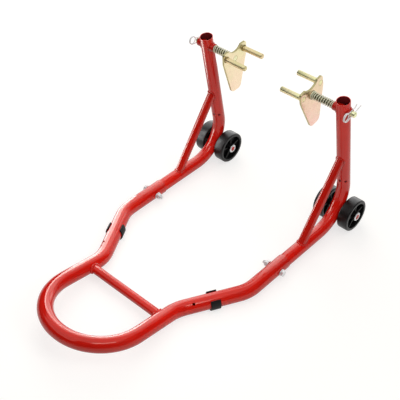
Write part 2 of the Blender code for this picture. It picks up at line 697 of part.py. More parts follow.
def spring_points(side):
    """Points of a compression spring round the shaft, with one closed curl at each end."""
    radius = SHAFT_D / 2 + SPRING_CLEARANCE + SPRING_WIRE / 2
    closed = SPRING_WIRE + SPRING_CLOSED_GAP
    first = SLEEVE_IN + GAP + SPRING_WIRE / 2
    span = SPRING_LENGTH - SPRING_WIRE
    open_pitch = (span - 2 * closed) / SPRING_CURLS
    points = []
    for k in range((SPRING_CURLS + 2) * SPRING_POINTS + 1):
        curl = k / SPRING_POINTS
        opened = min(max(curl - 1, 0), SPRING_CURLS)
        depth = first + closed * (curl - opened) + open_pitch * opened
        angle = 2 * math.pi * curl
        points.append(Vector((-side * depth, radius * math.cos(angle), radius * math.sin(angle))))
    return points


def clip_points(side):
    """Points of a retaining clip: straight leg, ring of one and a half turns, and bowed leg."""
    start = side * clip_out(side)
    middle = Vector((-CLIP_RING_REACH, CLIP_RING_R))
    rider = SHAFT_D / 2 + CLIP_WIRE / 2 + GAP
    points = [Vector((start, CLIP_LEG * share, 0.0)) for share in (1.0, 0.5, 0.0)]
    steps = 20
    for k in range(steps + 1):
        angle = math.radians(270 - CLIP_TURN * k / steps)
        points.append(Vector((start - CLIP_CLIMB * k / steps, middle.x + CLIP_RING_R * math.cos(angle),
                              middle.y + CLIP_RING_R * math.sin(angle))))
    last = points[-1]
    bow = [Vector((last.x, reach * SHAFT_D / 2, rider * height))
           for reach, height in ((-1.1, 1.20), (0.0, 1.10), (1.2, 0.85), (2.2, 0.80), (3.2, 1.25))]
    return points + smooth_through([last, *bow], 3)[1:]


def least_gap(points, wire_d, apart):
    """Least space between stretches of a wire that lie at least so many points apart."""
    nearest = min((points[j] - points[i]).length
                  for i in range(len(points)) for j in range(i + apart, len(points)))
    return nearest - wire_d


def main():
    for old in list(bpy.data.objects):
        bpy.data.objects.remove(old, do_unlink=True)
    red = make_material("red_paint", (0.56, 0.02, 0.02), 0.28, 0.0)
    black = make_material("black_plastic", (0.02, 0.02, 0.021), 0.5, 0.0)
    rubber = make_material("black_rubber", (0.015, 0.015, 0.015), 0.7, 0.0)
    zinc = make_material("bright_zinc", (0.72, 0.73, 0.74), 0.3, 1.0)
    gold = make_material("yellow_zinc", (0.78, 0.62, 0.34), 0.35, 1.0)
    olive = make_material("spring_zinc", (0.60, 0.58, 0.40), 0.35, 1.0)

    stand = add_empty("stand", (0.0, -MIDDLE_Y, 0.0))
    build_handle(stand, red)
    build_crossbar(stand, red)
    for side in SIDE_NAMES:
        build_arm(stand, red, side)
        build_brace(stand, red, side)
        build_sleeve(stand, red, side)
        build_axle(stand, red, side)
        build_clamp(stand, zinc, side)
        build_foot(stand, rubber, side)
        build_adapter(stand, gold, zinc, olive, side)
    build_wheels(stand, black, zinc)

    gap = least_gap(spring_points(RIGHT), SPRING_WIRE, SPRING_POINTS - 2)
    print(f"least gap of the spring's wire to itself: {gap * 1000:.2f} mm")


main()
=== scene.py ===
"""Looks of a rear paddock stand: fine meshes, welds, materials, studio and camera."""
import math

import bmesh
import bpy
from mathutils import Matrix, Vector

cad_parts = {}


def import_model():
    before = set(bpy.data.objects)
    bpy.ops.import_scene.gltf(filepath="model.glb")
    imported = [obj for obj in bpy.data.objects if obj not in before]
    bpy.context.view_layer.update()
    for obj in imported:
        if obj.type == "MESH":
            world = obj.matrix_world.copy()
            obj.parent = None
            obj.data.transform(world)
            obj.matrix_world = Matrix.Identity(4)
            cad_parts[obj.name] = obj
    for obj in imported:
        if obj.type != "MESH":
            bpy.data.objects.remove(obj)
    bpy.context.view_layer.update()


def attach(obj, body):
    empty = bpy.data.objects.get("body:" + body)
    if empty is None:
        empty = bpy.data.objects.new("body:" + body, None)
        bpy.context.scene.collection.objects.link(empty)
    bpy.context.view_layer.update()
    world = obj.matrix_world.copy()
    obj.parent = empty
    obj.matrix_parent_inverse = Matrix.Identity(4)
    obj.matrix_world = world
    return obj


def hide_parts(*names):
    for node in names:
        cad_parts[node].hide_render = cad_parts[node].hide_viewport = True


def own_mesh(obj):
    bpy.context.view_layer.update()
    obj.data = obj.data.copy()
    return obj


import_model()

LEFT = -1
RIGHT = 1
SIDE_NAMES = {LEFT: "left", RIGHT: "right"}

# Sizes of the stand, in metres and degrees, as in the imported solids
GAP = 0.0003
GROUND_CLEARANCE = 0.002
HANDLE_OD = 0.0337
HANDLE_WALL = 0.0015
HANDLE_WIDTH = 0.2192
GRIP_STRAIGHT = 0.002
LEG_LENGTH = 0.2142
JOG_LENGTH = 0.1376
JOG_BEND_R = 0.079
SOCKET_LENGTH = 0.1195
GRIP_LIFT = 0.03256
DRAIN_HOLE_D = 0.006
DRAIN_HOLE_Y = -0.2265
DRAIN_HOLE_ANGLE = 55.0
CROSSBAR_OD = 0.020
CROSSBAR_WALL = 0.002
CROSSBAR_SETBACK = 0.1766
ARM_SPACING = 0.370
ARM_WALL = 0.0015
ARM_PLUG = 0.070
ARM_REACH = 0.2216
ARM_BEND_R = 0.0819
UPRIGHT_LEAN = 10.97
UPRIGHT_TOP = 0.3566
BRACE_OD = 0.0195
BRACE_WALL = 0.002
BRACE_FOOT_Y = 0.054
BRACE_HEAD_Z = 0.206
WHEEL_D = 0.077
WHEEL_WIDTH = 0.026
WHEEL_RIM = 0.0075
WHEEL_WEB = 0.006
WHEEL_HUB_WALL = 0.005
WHEEL_HUB_PROUD = 0.0015
WHEEL_RIBS = 5
WHEEL_RIB_WIDTH = 0.005
WHEEL_RIB_INSET = 0.0035
WHEEL_SIDE_GAP = 0.002
RIGHT_INNER_GAP = 0.009
AXLE_BAR_D = 0.013
AXLE_D = 0.011
PUSH_NUT_OD = 0.020
PUSH_NUT_THICK = 0.0022
AXLE_END = 0.001
BOLT_SETBACK = 0.030
BOLT_D = 0.008
BOLT_HEAD_AF = 0.013
BOLT_HEAD_H = 0.0053
NUT_H = 0.0080
NUT_COLLAR = 0.0020
WASHER_OD = 0.016
WASHER_THICK = 0.0016
BOLT_END = 0.0055
FOOT_Y = {LEFT: -0.180, RIGHT: -0.1865}
FOOT_LENGTH = 0.0215
FOOT_LIP = 0.0032
FOOT_MOUTH = 46.0
PIVOT_DROP = 0.0238
SHAFT_D = 0.012
SHAFT_TAIL = 0.0055
SLEEVE_WALL = 0.0037
SLEEVE_IN = 0.022
SLEEVE_OUT = {LEFT: 0.0245, RIGHT: 0.019}
SEAT_OD = 0.020
SEAT_THICK = 0.002
SPRING_LENGTH = 0.0525
SPRING_WIRE = 0.0018
SPRING_CURLS = 8
SPRING_CLOSED_GAP = 0.0006
SPRING_CLEARANCE = 0.0009
PLATE_THICK = 0.005
PLATE_WIDTH = 0.074
PLATE_HORN = 0.027
PLATE_DROP = 0.085
PLATE_TIP_WIDTH = 0.029
PLATE_HORN_R = 0.006
PLATE_SIDE_R = 0.020
PLATE_TIP_R = 0.011
NOTCH_WIDTH = 0.040
NOTCH_DEPTH = 0.010
PIN_D = 0.012
PIN_LENGTH = 0.0535
PIN_SPACING = 0.057
PIN_RISE = 0.0115
PLATE_LEAN = {LEFT: 4.5, RIGHT: 14.0}
CLIP_WIRE = 0.0020
CLIP_RING_R = 0.0087
CLIP_RING_REACH = 0.020
CLIP_LEG = 0.026
CLIP_PITCH = 0.0024
CLIP_TURN = 580.0
CLIP_TILT = {LEFT: -7.0, RIGHT: 6.0}

# Sizes that follow
ARM_X = ARM_SPACING / 2
HANDLE_BEND_R = (HANDLE_WIDTH - GRIP_STRAIGHT) / 2
ARM_OD = HANDLE_OD - 2 * HANDLE_WALL - 2 * GAP
TUBE_Z = HANDLE_OD / 2 + GROUND_CLEARANCE
JOG_OUT_Y = -SOCKET_LENGTH
JOG_IN_Y = JOG_OUT_Y - JOG_LENGTH
GRIP_Y = JOG_IN_Y - LEG_LENGTH
CROSSBAR_Y = GRIP_Y + CROSSBAR_SETBACK
GRIP_SLOPE = GRIP_LIFT / LEG_LENGTH
LEAN = math.radians(UPRIGHT_LEAN)
BEND_TURN = math.pi / 2 + LEAN
BEND_Y = ARM_REACH - ARM_BEND_R * math.tan(BEND_TURN / 2)
BEND_Z = TUBE_Z + ARM_BEND_R
AXLE_Z = WHEEL_D / 2
AXLE_TO_BEND = ARM_BEND_R + ARM_OD / 2 + AXLE_BAR_D / 2 + GAP
AXLE_Y = BEND_Y + math.sqrt(AXLE_TO_BEND ** 2 - (BEND_Z - AXLE_Z) ** 2)
WHEEL_IN = dict.fromkeys(("left_outer", "left_inner", "right_outer"), ARM_OD / 2 + WHEEL_SIDE_GAP)
WHEEL_IN["right_inner"] = ARM_OD / 2 + RIGHT_INNER_GAP
WHEEL_TO_NUT = WHEEL_WIDTH + WHEEL_HUB_PROUD + GAP
WHEEL_TO_END = WHEEL_TO_NUT + PUSH_NUT_THICK + AXLE_END
MIDDLE_Y = (GRIP_Y - HANDLE_OD / 2 + AXLE_Y + WHEEL_D / 2) / 2
PIVOT_Z = UPRIGHT_TOP - PIVOT_DROP
SLEEVE_ID = SHAFT_D + 2 * GAP
SLEEVE_OD = SLEEVE_ID + 2 * SLEEVE_WALL
PLATE_OUT = SLEEVE_IN + SPRING_LENGTH + SEAT_THICK + 3 * GAP
PLATE_IN = PLATE_OUT + PLATE_THICK
CLIP_CLIMB = CLIP_PITCH * CLIP_TURN / 360

# Welds: widths of the beads, and how they lie
CROSSBAR_WELD = 0.0050
CROSSBAR_PROUD = 0.0006
BRACE_WELD = 0.0040
SLEEVE_WELD = 0.0032
PIN_WELD = 0.0020
AXLE_WELD = 0.0044
AXLE_WELD_REACH = 0.36
AXLE_WELD_SIDE = 0.0032
AXLE_WELD_BULGE = 0.0018
AXLE_WELD_SUNK = 0.0012
WELD_SUNK = 0.0002
WELD_RIPPLE = 3

# Tool marks, rounded edges and other fine forms
DENT_Z = 0.131
DENT_ANGLES = (-88.0, -37.0)
DENT_DEPTH = 0.0016
DENT_WIDTH = 0.0026
# Reach of the painted shade round each tool mark
DENT_SHADE_REACH = 0.0030
DENT_STEP = 0.0012
EDGE = 0.0004
TUBE_EDGE = 0.0006
FOOT_EDGE = 0.0006
FOOT_BELLY = 0.0012
PLATE_BEVEL = 0.0005
RIB_EDGE = 0.0007
HUB_DRAFT = 0.0008
RIM_DRAFT = 0.0006
RIM_EDGE = 0.0009
WHEEL_ROUNDING = [0.0004, 0.0010, 0.0015, 0.0015, RIM_EDGE, 0.0028]
HOLLOW_MARGIN = 0.0002
PUSH_NUT_RIM = 0.45
PUSH_NUT_CONE = 0.0028
PUSH_NUT_SLOTS = 6
SLOT_SIZE = (PUSH_NUT_THICK, 0.0009, 0.0034)
SLOT_OUT = 0.0006
HEX_FLAT = 0.96
HEX_OVER = 1.02
THREAD_PITCH = 0.00125
THREAD_DEPTH = 0.0005
COLLAR_SHARE = 0.44
COLLAR_ROOT = 0.001
ALONG_UPRIGHT = Vector((0.0, -math.sin(LEAN), math.cos(LEAN)))

# Ends of turned bars: distance from the end, and loss of radius there
AXLE_NOSE = ((0.001, 0.0), (0.0005, 0.0002), (0.0, 0.0009))
BOLT_NOSE = (0.0006, 0.0011)
PIN_NOSE = ((0.0012, 0.0), (0.0005, EDGE), (0.0, 0.0011))
SHAFT_NOSE = ((0.0012, 0.0), (0.0005, EDGE), (0.0, 0.0013))
# Rings of a wire's round end: share of its radius along it, and across
WIRE_CAP = ((0.5, 0.866), (0.85, 0.527))
# Bowed leg of a clip: way past the shaft's middle in radii, and share of the height that clears it
CLIP_BOW = ((-1.1, 1.20), (0.0, 1.10), (1.2, 0.85), (2.2, 0.80), (3.2, 1.25))

# Fineness of the meshes
MERGE = 1e-7
TUBE_SIDES = 48
ROUND_SIDES = 40
RING_SIDES = 48
COPE_SIDES = 96
WHEEL_SIDES = 72
NUT_SIDES = 64
SHANK_SIDES = 32
CLIP_SIDES = 14
SPRING_SIDES = 12
BEAD_SIDES = 10
HOLE_SIDES = 24
SADDLE_STEPS = 72
PIN_WELD_STEPS = 60
AXLE_WELD_STEPS = 36
CLIP_STEPS = 72
BOW_STEPS = 8
CURL_STEPS = 36
FOOT_STEPS = 48
NOTCH_STEPS = 24
BEND_STEP = 3.0
PLATE_STEP = 5.0
WHEEL_STEP = 18.0
COARSE_STEP = 30.0
SHARP_ANGLE = 40.0
BEVEL_ANGLE = 35.0


def upright_y(height):
    return ARM_REACH - (height - TUBE_Z) * math.tan(LEAN)


def handle_z(y):
    return TUBE_Z + GRIP_SLOPE * max(JOG_IN_Y - y, 0.0)


def jog_x(y):
    share = (y - JOG_IN_Y) / JOG_LENGTH
    return HANDLE_WIDTH / 2 + share * (ARM_X - HANDLE_WIDTH / 2)


def clip_out(side):
    """Distance of a clip's straight leg from the arm's centre line; the bowed leg lies to its left."""
    return SLEEVE_OUT[side] + GAP + CLIP_WIRE / 2 + max(side, 0) * CLIP_CLIMB


def placed(x, y, z):
    """A point of the stand, counted from the handle's open end, in the frame of the pack."""
    return Vector((x, y - MIDDLE_Y, z))


# Meshes

def finish_mesh(name, bm):
    bmesh.ops.remove_doubles(bm, verts=bm.verts, dist=MERGE)
    bmesh.ops.recalc_face_normals(bm, faces=bm.faces)
    mesh = bpy.data.meshes.new(name)
    bm.to_mesh(mesh)
    bm.free()
    mesh.shade_smooth()
    mesh.set_sharp_from_angle(angle=math.radians(SHARP_ANGLE))
    return mesh


def add_band(bm, first, second):
    """Join two rings of points; a ring of one point closes the band to a fan."""
    count = max(len(first), len(second))
    first, second = (ring * count if len(ring) == 1 else ring for ring in (first, second))
    for k in range(count if count > 1 else 0):
        after = (k + 1) % count
        corners = (first[k], first[after], second[after], second[k])
        bm.faces.new(list(dict.fromkeys(corners)))


def lofted(rings, closed=False):
    """A new mesh of bands between rings of points, with its rings; a closed run ends on its first ring."""
    bm = bmesh.new()
    made = [[bm.verts.new(point) for point in ring] for ring in rings]
    run = list(made)
    if closed:
        # The first ring may be turned against the last one
        gaps = [(vertex.co - made[-1][0].co).length for vertex in made[0]]
        shift = gaps.index(min(gaps))
        run.append(made[0][shift:] + made[0][:shift])
    for first, second in zip(run, run[1:]):
        add_band(bm, first, second)
    return bm, made


def fillet(before, corner, after, radius, step=BEND_STEP):
    """Points of the arc that rounds a corner of a path."""
    to_before = (before - corner).normalized()
    to_after = (after - corner).normalized()
    turn = math.pi - to_before.angle(to_after)
    start = corner + to_before * radius * math.tan(turn / 2)
    middle = corner + (to_before + to_after).normalized() * radius / math.cos(turn / 2)
    axis = (-to_before).cross(to_after).normalized()
    steps = max(2, math.ceil(math.degrees(turn) / step))
    spoke = start - middle
    return [middle + Matrix.Rotation(turn * k / steps, 3, axis) @ spoke for k in range(steps + 1)]


def bent_path(corners, radii):
    path = [corners[0]]
    for k, radius in enumerate(radii, start=1):
        path += fillet(corners[k - 1], corners[k], corners[k + 1], radius)
    return path + [corners[-1]]


def directions(path, closed=False):
    """Direction of a path at each of its points."""
    first, last = (path[-1], path[0]) if closed else (path[0], path[-1])
    return [(after - before).normalized() for before, after in zip([first, *path], [*path[1:], last])]


def ring_frames(along):
    """Two directions across a path at each of its points, without twist."""
    across = Vector((1.0, 0.0, 0.0))
    if abs(along[0].x) > 0.9:
        across = Vector((0.0, 1.0, 0.0))
    frames = []
    for direction in along:
        across = (across - direction * across.dot(direction)).normalized()
        frames.append((across, direction.cross(across)))
    return frames


def ring_points(point, axes, radius, sides):
    across, other = axes
    turns = [2 * math.pi * k / sides for k in range(sides)]
    return [point + (across * math.cos(a) + other * math.sin(a)) * radius for a in turns]


def tube_mesh(name, path, outer_d, wall, sides, shape=None):
    """A hollow tube along a path, with its two rims rounded; shape may move the outer points.

    The faces of the bore take the mesh's second material.
    """
    along = directions(path)
    frames = ring_frames(along)
    outer = outer_d / 2
    inner = outer - wall
    last = len(path) - 1
    turns = [math.radians(a) for a in (0, 30, 60, 90)]
    rings = []

    def add(k, shift, radius):
        rings.append(ring_points(path[k] + along[k] * shift, frames[k], radius, sides))

    def add_rim(k, order, sign):
        """Rounded rim at one end, outside with a sign of 1 and in the bore with -1."""
        away = 1 if k else -1
        middle = outer - TUBE_EDGE if sign > 0 else inner + TUBE_EDGE
        for turn in order:
            shift = TUBE_EDGE * math.sin(turn) - TUBE_EDGE
            add(k, away * shift, middle + sign * TUBE_EDGE * math.cos(turn))

    add_rim(0, turns[::-1], 1)
    for k in range(1, last):
        add(k, 0.0, outer)
        if shape:
            rings[-1] = [shape(p) for p in rings[-1]]
    add_rim(last, turns, 1)
    add_rim(last, turns[::-1], -1)
    bore = len(rings) - 1
    for k in range(last - 1, 0, -1):
        add(k, 0.0, inner)
    add_rim(0, turns, -1)
    bm, _ = lofted(rings, closed=True)
    bm.faces.ensure_lookup_table()
    for face in bm.faces[bore * sides:]:
        face.material_index = 1
    return finish_mesh(name, bm)


def wire_mesh(name, path, wire_d, sides, closed=False, radius_at=None):
    """A solid round wire along a path, with rounded ends unless it is closed."""
    along = directions(path, closed)
    frames = ring_frames(along)
    radius = wire_d / 2
    rings = []
    for k, point in enumerate(path):
        here = radius_at(k) if radius_at else radius
        rings.append(ring_points(point, frames[k], here, sides))
    if not closed:
        caps = []
        for end, sign in ((0, -1), (-1, 1)):
            outward = along[end] * sign * radius
            cap = [ring_points(path[end] + outward * share, frames[end], radius * size, sides)
                   for share, size in WIRE_CAP]
            caps.append([*cap, [path[end] + outward]])
        rings = caps[0][::-1] + rings + caps[1]
    bm, _ = lofted(rings, closed)
    return finish_mesh(name, bm)


def rounded(corners, radii, step=15.0):
    """A closed run of flat points with some of its corners rounded."""
    points = [Vector((u, v, 0.0)) for u, v in corners]
    run = []
    for k, point in enumerate(points):
        if radii[k] > 0:
            run += fillet(points[k - 1], point, points[(k + 1) % len(points)], radii[k], step)
        else:
            run.append(point)
    return [(p.x, p.y) for p in run]


def turned_mesh(name, profile, sides, closed=True):
    """A body turned about X from (x, radius) points."""
    rings = []
    for x, radius in profile:
        around = circle(radius, sides) if radius > MERGE else [(0.0, 0.0)]
        rings.append([(x, u, v) for u, v in around])
    bm, _ = lofted(rings, closed)
    return finish_mesh(name, bm)


def prism_mesh(name, outline, start, end):
    """A flat shape of (y, z) points drawn out along X."""
    bm, rings = lofted([[(x, u, v) for u, v in outline] for x in (start, end)])
    for ring in rings:
        bm.faces.new(ring)
    return finish_mesh(name, bm)


def arc(middle, radius, first, last, steps):
    turns = [math.radians(first + (last - first) * k / steps) for k in range(steps + 1)]
    return [(middle[0] + radius * math.cos(a), middle[1] + radius * math.sin(a)) for a in turns]


def circle(radius, sides, middle=(0.0, 0.0)):
    return arc(middle, radius, 0.0, 360.0, sides)[:-1]


def put(name, data):
    """A new object in the scene."""
    made = bpy.data.objects.new(name, data)
    bpy.context.scene.collection.objects.link(made)
    return made


def along_x(distance):
    return Matrix.Translation((distance, 0.0, 0.0))


def facing(outward):
    """A half turn about Z for what faces to the left."""
    return Matrix.Rotation(0.0 if outward > 0 else math.pi, 4, "Z")


def rod_matrix(start, end):
    turn = Vector((1.0, 0.0, 0.0)).rotation_difference(end - start)
    return Matrix.Translation(start) @ turn.to_matrix().to_4x4()


def rod_mesh(length, diameter, sides=ROUND_SIDES):
    radius = diameter / 2
    profile = [(0.0, 0.0), (0.0, radius), (length, radius), (length, 0.0)]
    return turned_mesh("rod", profile, sides, closed=False)


def nosed(tip, radius, nose):
    """Profile of a turned bar's end."""
    return [*((tip - back, radius - drop) for back, drop in nose), (tip, 0.0)]


def worked(mesh, tools=(), bevel=None):
    """The mesh after cuts or joins with (operation, mesh, matrix) tools, and then a bevel."""
    piece = put(mesh.name, mesh)
    helpers = []
    for operation, tool_mesh, matrix in tools:
        tool = put(tool_mesh.name, tool_mesh)
        tool.matrix_world = matrix
        helpers.append(tool)
        modifier = piece.modifiers.new("tool", "BOOLEAN")
        modifier.operation = operation
        modifier.object = tool
        modifier.solver = "EXACT"
    if bevel:
        modifier = piece.modifiers.new("bevel", "BEVEL")
        modifier.width = bevel
        modifier.segments = 3
        modifier.limit_method = "ANGLE"
        modifier.angle_limit = math.radians(BEVEL_ANGLE)
    bpy.context.view_layer.update()
    graph = bpy.context.evaluated_depsgraph_get()
    made = bpy.data.meshes.new_from_object(piece.evaluated_get(graph))
    made.name = mesh.name
    for extra in [piece, *helpers]:
        bpy.data.objects.remove(extra, do_unlink=True)
    made.materials.clear()
    made.shade_smooth()
    made.set_sharp_from_angle(angle=math.radians(SHARP_ANGLE))
    return made


ZINC_SLOTS = ("bright_zinc", "yellow_zinc", "spring_zinc")
PAINT_LIT = bpy.data.collections.new("lit_from_behind")
ZINC_LIT = bpy.data.collections.new("zinc_lit_from_above")
UPRIGHT_LIT = bpy.data.collections.new("uprights_lit_from_front")


def show(name, mesh, material, body, slot, matrix=None, second=None):
    """Put a piece in the scene, on its body, and under the lamps that light it."""
    mesh.name = name
    if matrix is not None:
        mesh.transform(matrix)
    within = [face.material_index for face in mesh.polygons]
    mesh.materials.clear()
    mesh.materials.append(material)
    if second:
        mesh.materials.append(second)
        mesh.polygons.foreach_set("material_index", within)
    piece = put(name, mesh)
    if slot in ZINC_SLOTS:
        ZINC_LIT.objects.link(piece)
    elif "sleeve" not in name:
        PAINT_LIT.objects.link(piece)
    if "arm_tube" in name:
        UPRIGHT_LIT.objects.link(piece)
    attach(piece, body)
    return piece


def stand_in(node, mesh, material, body, slot, matrix=None, second=None):
    """Show a piece in place of a node of the pack."""
    piece = show(f"{node}_shown", mesh, material, body, slot, matrix, second)
    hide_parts(node)
    return piece


# Materials

PAINT_SPECULAR = 0.46
PAINT_TINT = (1.0, 0.94, 0.84)
BRUSHED = (1.0, 1.0, 0.15)
SAWN = (0.2, 1.0, 1.0)


def feed(tree, value, target):
    """Link a socket to an input, or set a constant on it."""
    if isinstance(value, bpy.types.NodeSocket):
        tree.links.new(value, target)
    elif target.type == "RGBA":
        target.default_value = (*value, 1.0)
    else:
        target.default_value = value


def add_node(tree, kind, inputs=(), **settings):
    """A new node, with its settings made and its inputs fed by name or number."""
    node = tree.nodes.new("ShaderNode" + kind)
    for key, value in settings.items():
        setattr(node, key, value)
    for socket, value in dict(inputs).items():
        feed(tree, value, node.inputs[socket])
    return node


def levels(tree, value, low, high, to_low, to_high, **settings):
    """A value between two levels, carried over to two others."""
    ends = {"Value": value, "From Min": low, "From Max": high, "To Min": to_low, "To Max": to_high}
    return add_node(tree, "MapRange", ends, **settings).outputs["Result"]


def nodes_of(owner):
    owner.use_nodes = True
    return owner.node_tree


class Look:
    """A material under construction, with short ways to add its nodes."""

    def __init__(self, name, metallic=0.0, specular=0.5):
        self.material = bpy.data.materials.new(name)
        self.tree = nodes_of(self.material)
        self.shader = self.tree.nodes["Principled BSDF"]
        self.place = self.add("TexCoord").outputs["Object"]
        self.set("Metallic", metallic)
        self.set("Specular IOR Level", specular)

    def add(self, kind, inputs=(), **settings):
        return add_node(self.tree, kind, inputs, **settings)

    def set(self, name, value):
        feed(self.tree, value, self.shader.inputs[name])

    def noise(self, scale, detail=3.0, stretch=None, distortion=0.0):
        source = self.place
        if stretch:
            source = self.add("Mapping", {"Vector": source, "Scale": stretch}).outputs["Vector"]
        inputs = {"Vector": source, "Scale": scale, "Detail": detail, "Distortion": distortion}
        return self.add("TexNoise", inputs).outputs["Fac"]

    def ramp(self, value, stops):
        """Colour between two (place, colour) stops."""
        node = self.add("ValToRGB", {"Fac": value})
        for element, (place, color) in zip(node.color_ramp.elements, stops):
            element.position = place
            element.color = (*color, 1.0)
        return node.outputs["Color"]

    def levels(self, *ends):
        return levels(self.tree, *ends)

    def mix(self, share, first, second):
        return self.add("Mix", {0: share, 6: first, 7: second}, data_type="RGBA").outputs[2]

    def math(self, kind, first, second):
        return self.add("Math", {0: first, 1: second}, operation=kind).outputs[0]

    def pointiness(self):
        return self.add("NewGeometry").outputs["Pointiness"]

    def reach(self, middle, axes):
        """Distance from a point, counted along the chosen axes."""
        gap = self.add("VectorMath", {0: self.place, 1: middle}, operation="SUBTRACT")
        part = self.add("VectorMath", {0: gap.outputs[0], 1: axes}, operation="MULTIPLY")
        return self.add("VectorMath", {0: part.outputs[0]}, operation="LENGTH").outputs["Value"]

    def height(self, low, high):
        """Share of the way from one height to another."""
        parts = self.add("SeparateXYZ", {0: self.place})
        return self.levels(parts.outputs["Z"], low, high, 0.0, 1.0)

    def gloss(self, scale, detail, least, most):
        """Uneven roughness."""
        self.set("Roughness", self.levels(self.noise(scale, detail), 0.3, 0.7, least, most))

    def bump(self, *layers):
        """Stack (height, distance) layers of relief."""
        inputs = {"Strength": 1.0}
        for height, distance in layers:
            inputs |= {"Height": height, "Distance": distance}
            inputs["Normal"] = self.add("Bump", inputs).outputs["Normal"]
        self.set("Normal", inputs["Normal"])

    def finish(self, color, gloss, *layers):
        """The finished material, from its colour, its uneven gloss and its relief."""
        self.set("Base Color", color)
        self.gloss(*gloss)
        self.bump(*layers)
        return self.material


def simple_look(name, tones, gloss, relief, metallic=0.0, specular=0.5, stretch=None):
    """Two clouded colours, uneven gloss and fine relief, each from a noise of a scale and detail.

    The tones end with two (place, colour) stops, the gloss with the least and most roughness, and the
    relief with its depth.
    """
    look = Look(name, metallic, specular)
    base = look.ramp(look.noise(*tones[:2]), tones[2:])
    scale, detail, depth = relief
    return look.finish(base, gloss, (look.noise(scale, detail, stretch), depth))


def paint_look(name, beaded=False):
    """Glossy red powder coat, with a faint orange peel and a paler line on worn edges."""
    look = Look(name, specular=PAINT_SPECULAR)
    base = look.ramp(look.noise(14.0), [(0.35, (0.63, 0.009, 0.004)), (0.65, (0.69, 0.012, 0.005))])
    specks = look.levels(look.noise(1100.0, 2.0), 0.70, 0.76, 0.0, 0.30)
    base = look.mix(specks, base, (0.40, 0.004, 0.004))
    edge = look.levels(look.pointiness(), 0.56, 0.66, 0.0, 0.25)
    worn = look.math("MULTIPLY", edge, look.levels(look.noise(220.0), 0.40, 0.62, 0.0, 1.0))
    look.set("Specular Tint", PAINT_TINT)
    peel = look.noise(500.0, 2.0)
    layers = ((peel, 0.000008), (look.noise(30.0, 1.0), 0.00004))
    if beaded:
        layers = ((look.noise(520.0), 0.0006), (peel, 0.00008))
    return look.finish(look.mix(worn, base, (0.70, 0.16, 0.10)), (60.0, 3.0, 0.07, 0.13), *layers)


def plastic_look():
    """Satin black moulded plastic with a fine grain, a little dust and painted highlights on its edges."""
    look = Look("black_plastic_shown", specular=0.33)
    dust = look.levels(look.noise(70.0, 5.0), 0.45, 0.80, 0.0, 0.30)
    base = look.mix(dust, (0.003, 0.003, 0.003), (0.012, 0.012, 0.012))
    # Painted highlight: sharp edges are lighter
    edge = look.levels(look.pointiness(), 0.53, 0.62, 0.0, 0.4)
    base = look.mix(edge, base, (0.040, 0.040, 0.040))
    return look.finish(base, (160.0, 3.0, 0.28, 0.42), (look.noise(1500.0, 2.0), 0.00004))


def gold_look(name, olive, pink):
    """Yellow passivated zinc: olive gold with drifting pink and green tints."""
    look = Look(name, 1.0)
    base = look.ramp(look.noise(26.0, 2.0, distortion=0.6), [(0.30, olive), (0.74, pink)])
    stain = look.levels(look.noise(180.0, 4.0), 0.58, 0.78, 0.0, 0.35)
    base = look.mix(stain, base, (0.40, 0.33, 0.15))
    return look.finish(base, (90.0, 4.0, 0.34, 0.46), (look.noise(1400.0, 2.0, BRUSHED), 0.00003))


def plate_look(name, upper, lower):
    """Yellow passivated zinc on a plate: pale above and pinker below, with a dark edge round the shaft."""
    look = Look(name, 1.0)
    across = look.reach(placed(0.0, upright_y(PIVOT_Z), PIVOT_Z), (0.0, 1.0, 1.0))
    below = look.height(PIVOT_Z + PLATE_HORN, PIVOT_Z - PLATE_DROP)
    drift = look.levels(look.noise(22.0, 2.0, distortion=0.6), 0.30, 0.70, -0.25, 0.25)
    base = look.mix(look.math("ADD", below, drift), upper, lower)
    green = look.levels(look.noise(34.0, 2.0), 0.56, 0.74, 0.0, 0.35)
    base = look.mix(green, base, (0.70, 0.72, 0.42))
    stain = look.levels(look.noise(170.0, 4.0), 0.60, 0.80, 0.0, 0.22)
    base = look.mix(stain, base, (0.52, 0.42, 0.22))
    # Darker within 2 mm round the shaft
    dark_round_shaft = look.levels(across, SHAFT_D / 2, SHAFT_D / 2 + 0.002, 0.30, 0.0)
    base = look.mix(dark_round_shaft, base, (0.30, 0.22, 0.10))
    return look.finish(base, (90.0, 4.0, 0.24, 0.38), (look.noise(1400.0, 2.0, BRUSHED), 0.00003))


def shaft_look():
    """Yellow passivated zinc, painted dark as shade where the spring covers the shaft."""
    look = Look("shaft_zinc_shown", 1.0)
    drift = look.noise(26.0, 2.0, distortion=0.6)
    base = look.ramp(drift, [(0.32, (0.80, 0.82, 0.48)), (0.68, (0.92, 0.86, 0.58))])
    out = look.reach((0.0, 0.0, 0.0), (1.0, 0.0, 0.0))
    # Painted shade along the spring, from just off the plate to the sleeve's inner end
    spring_shade = look.levels(out, ARM_X - SLEEVE_IN, ARM_X - SLEEVE_IN + 0.004, 0.92, 0.0)
    clear_of_plate = look.levels(out, ARM_X - PLATE_IN + 0.001, ARM_X - PLATE_IN + 0.003, 0.0, 1.0)
    spring_shade = look.math("MULTIPLY", spring_shade, clear_of_plate)
    spring_shade = look.math("MULTIPLY", spring_shade, look.levels(look.noise(160.0), 0.30, 0.60, 0.75, 1.0))
    base = look.mix(spring_shade, base, (0.06, 0.06, 0.03))
    return look.finish(base, (120.0, 3.0, 0.22, 0.40), (look.noise(1400.0, 2.0), 0.00003))


RED = paint_look("red_paint_shown")
# Thin red paint inside the open tubes, painted much darker as the shade inside them; the tool marks take it
# too, as painted shade
BORE_AND_DENT_SHADE = simple_look(
    "red_bore_painted_shade_shown", (60.0, 4.0, (0.3, (0.085, 0.004, 0.005)), (0.7, (0.15, 0.008, 0.010))),
    (200.0, 3.0, 0.5, 0.75), (700.0, 3.0, 0.00010), specular=0.15)
RED_WELD = paint_look("red_weld_shown", beaded=True)
PLASTIC = plastic_look()
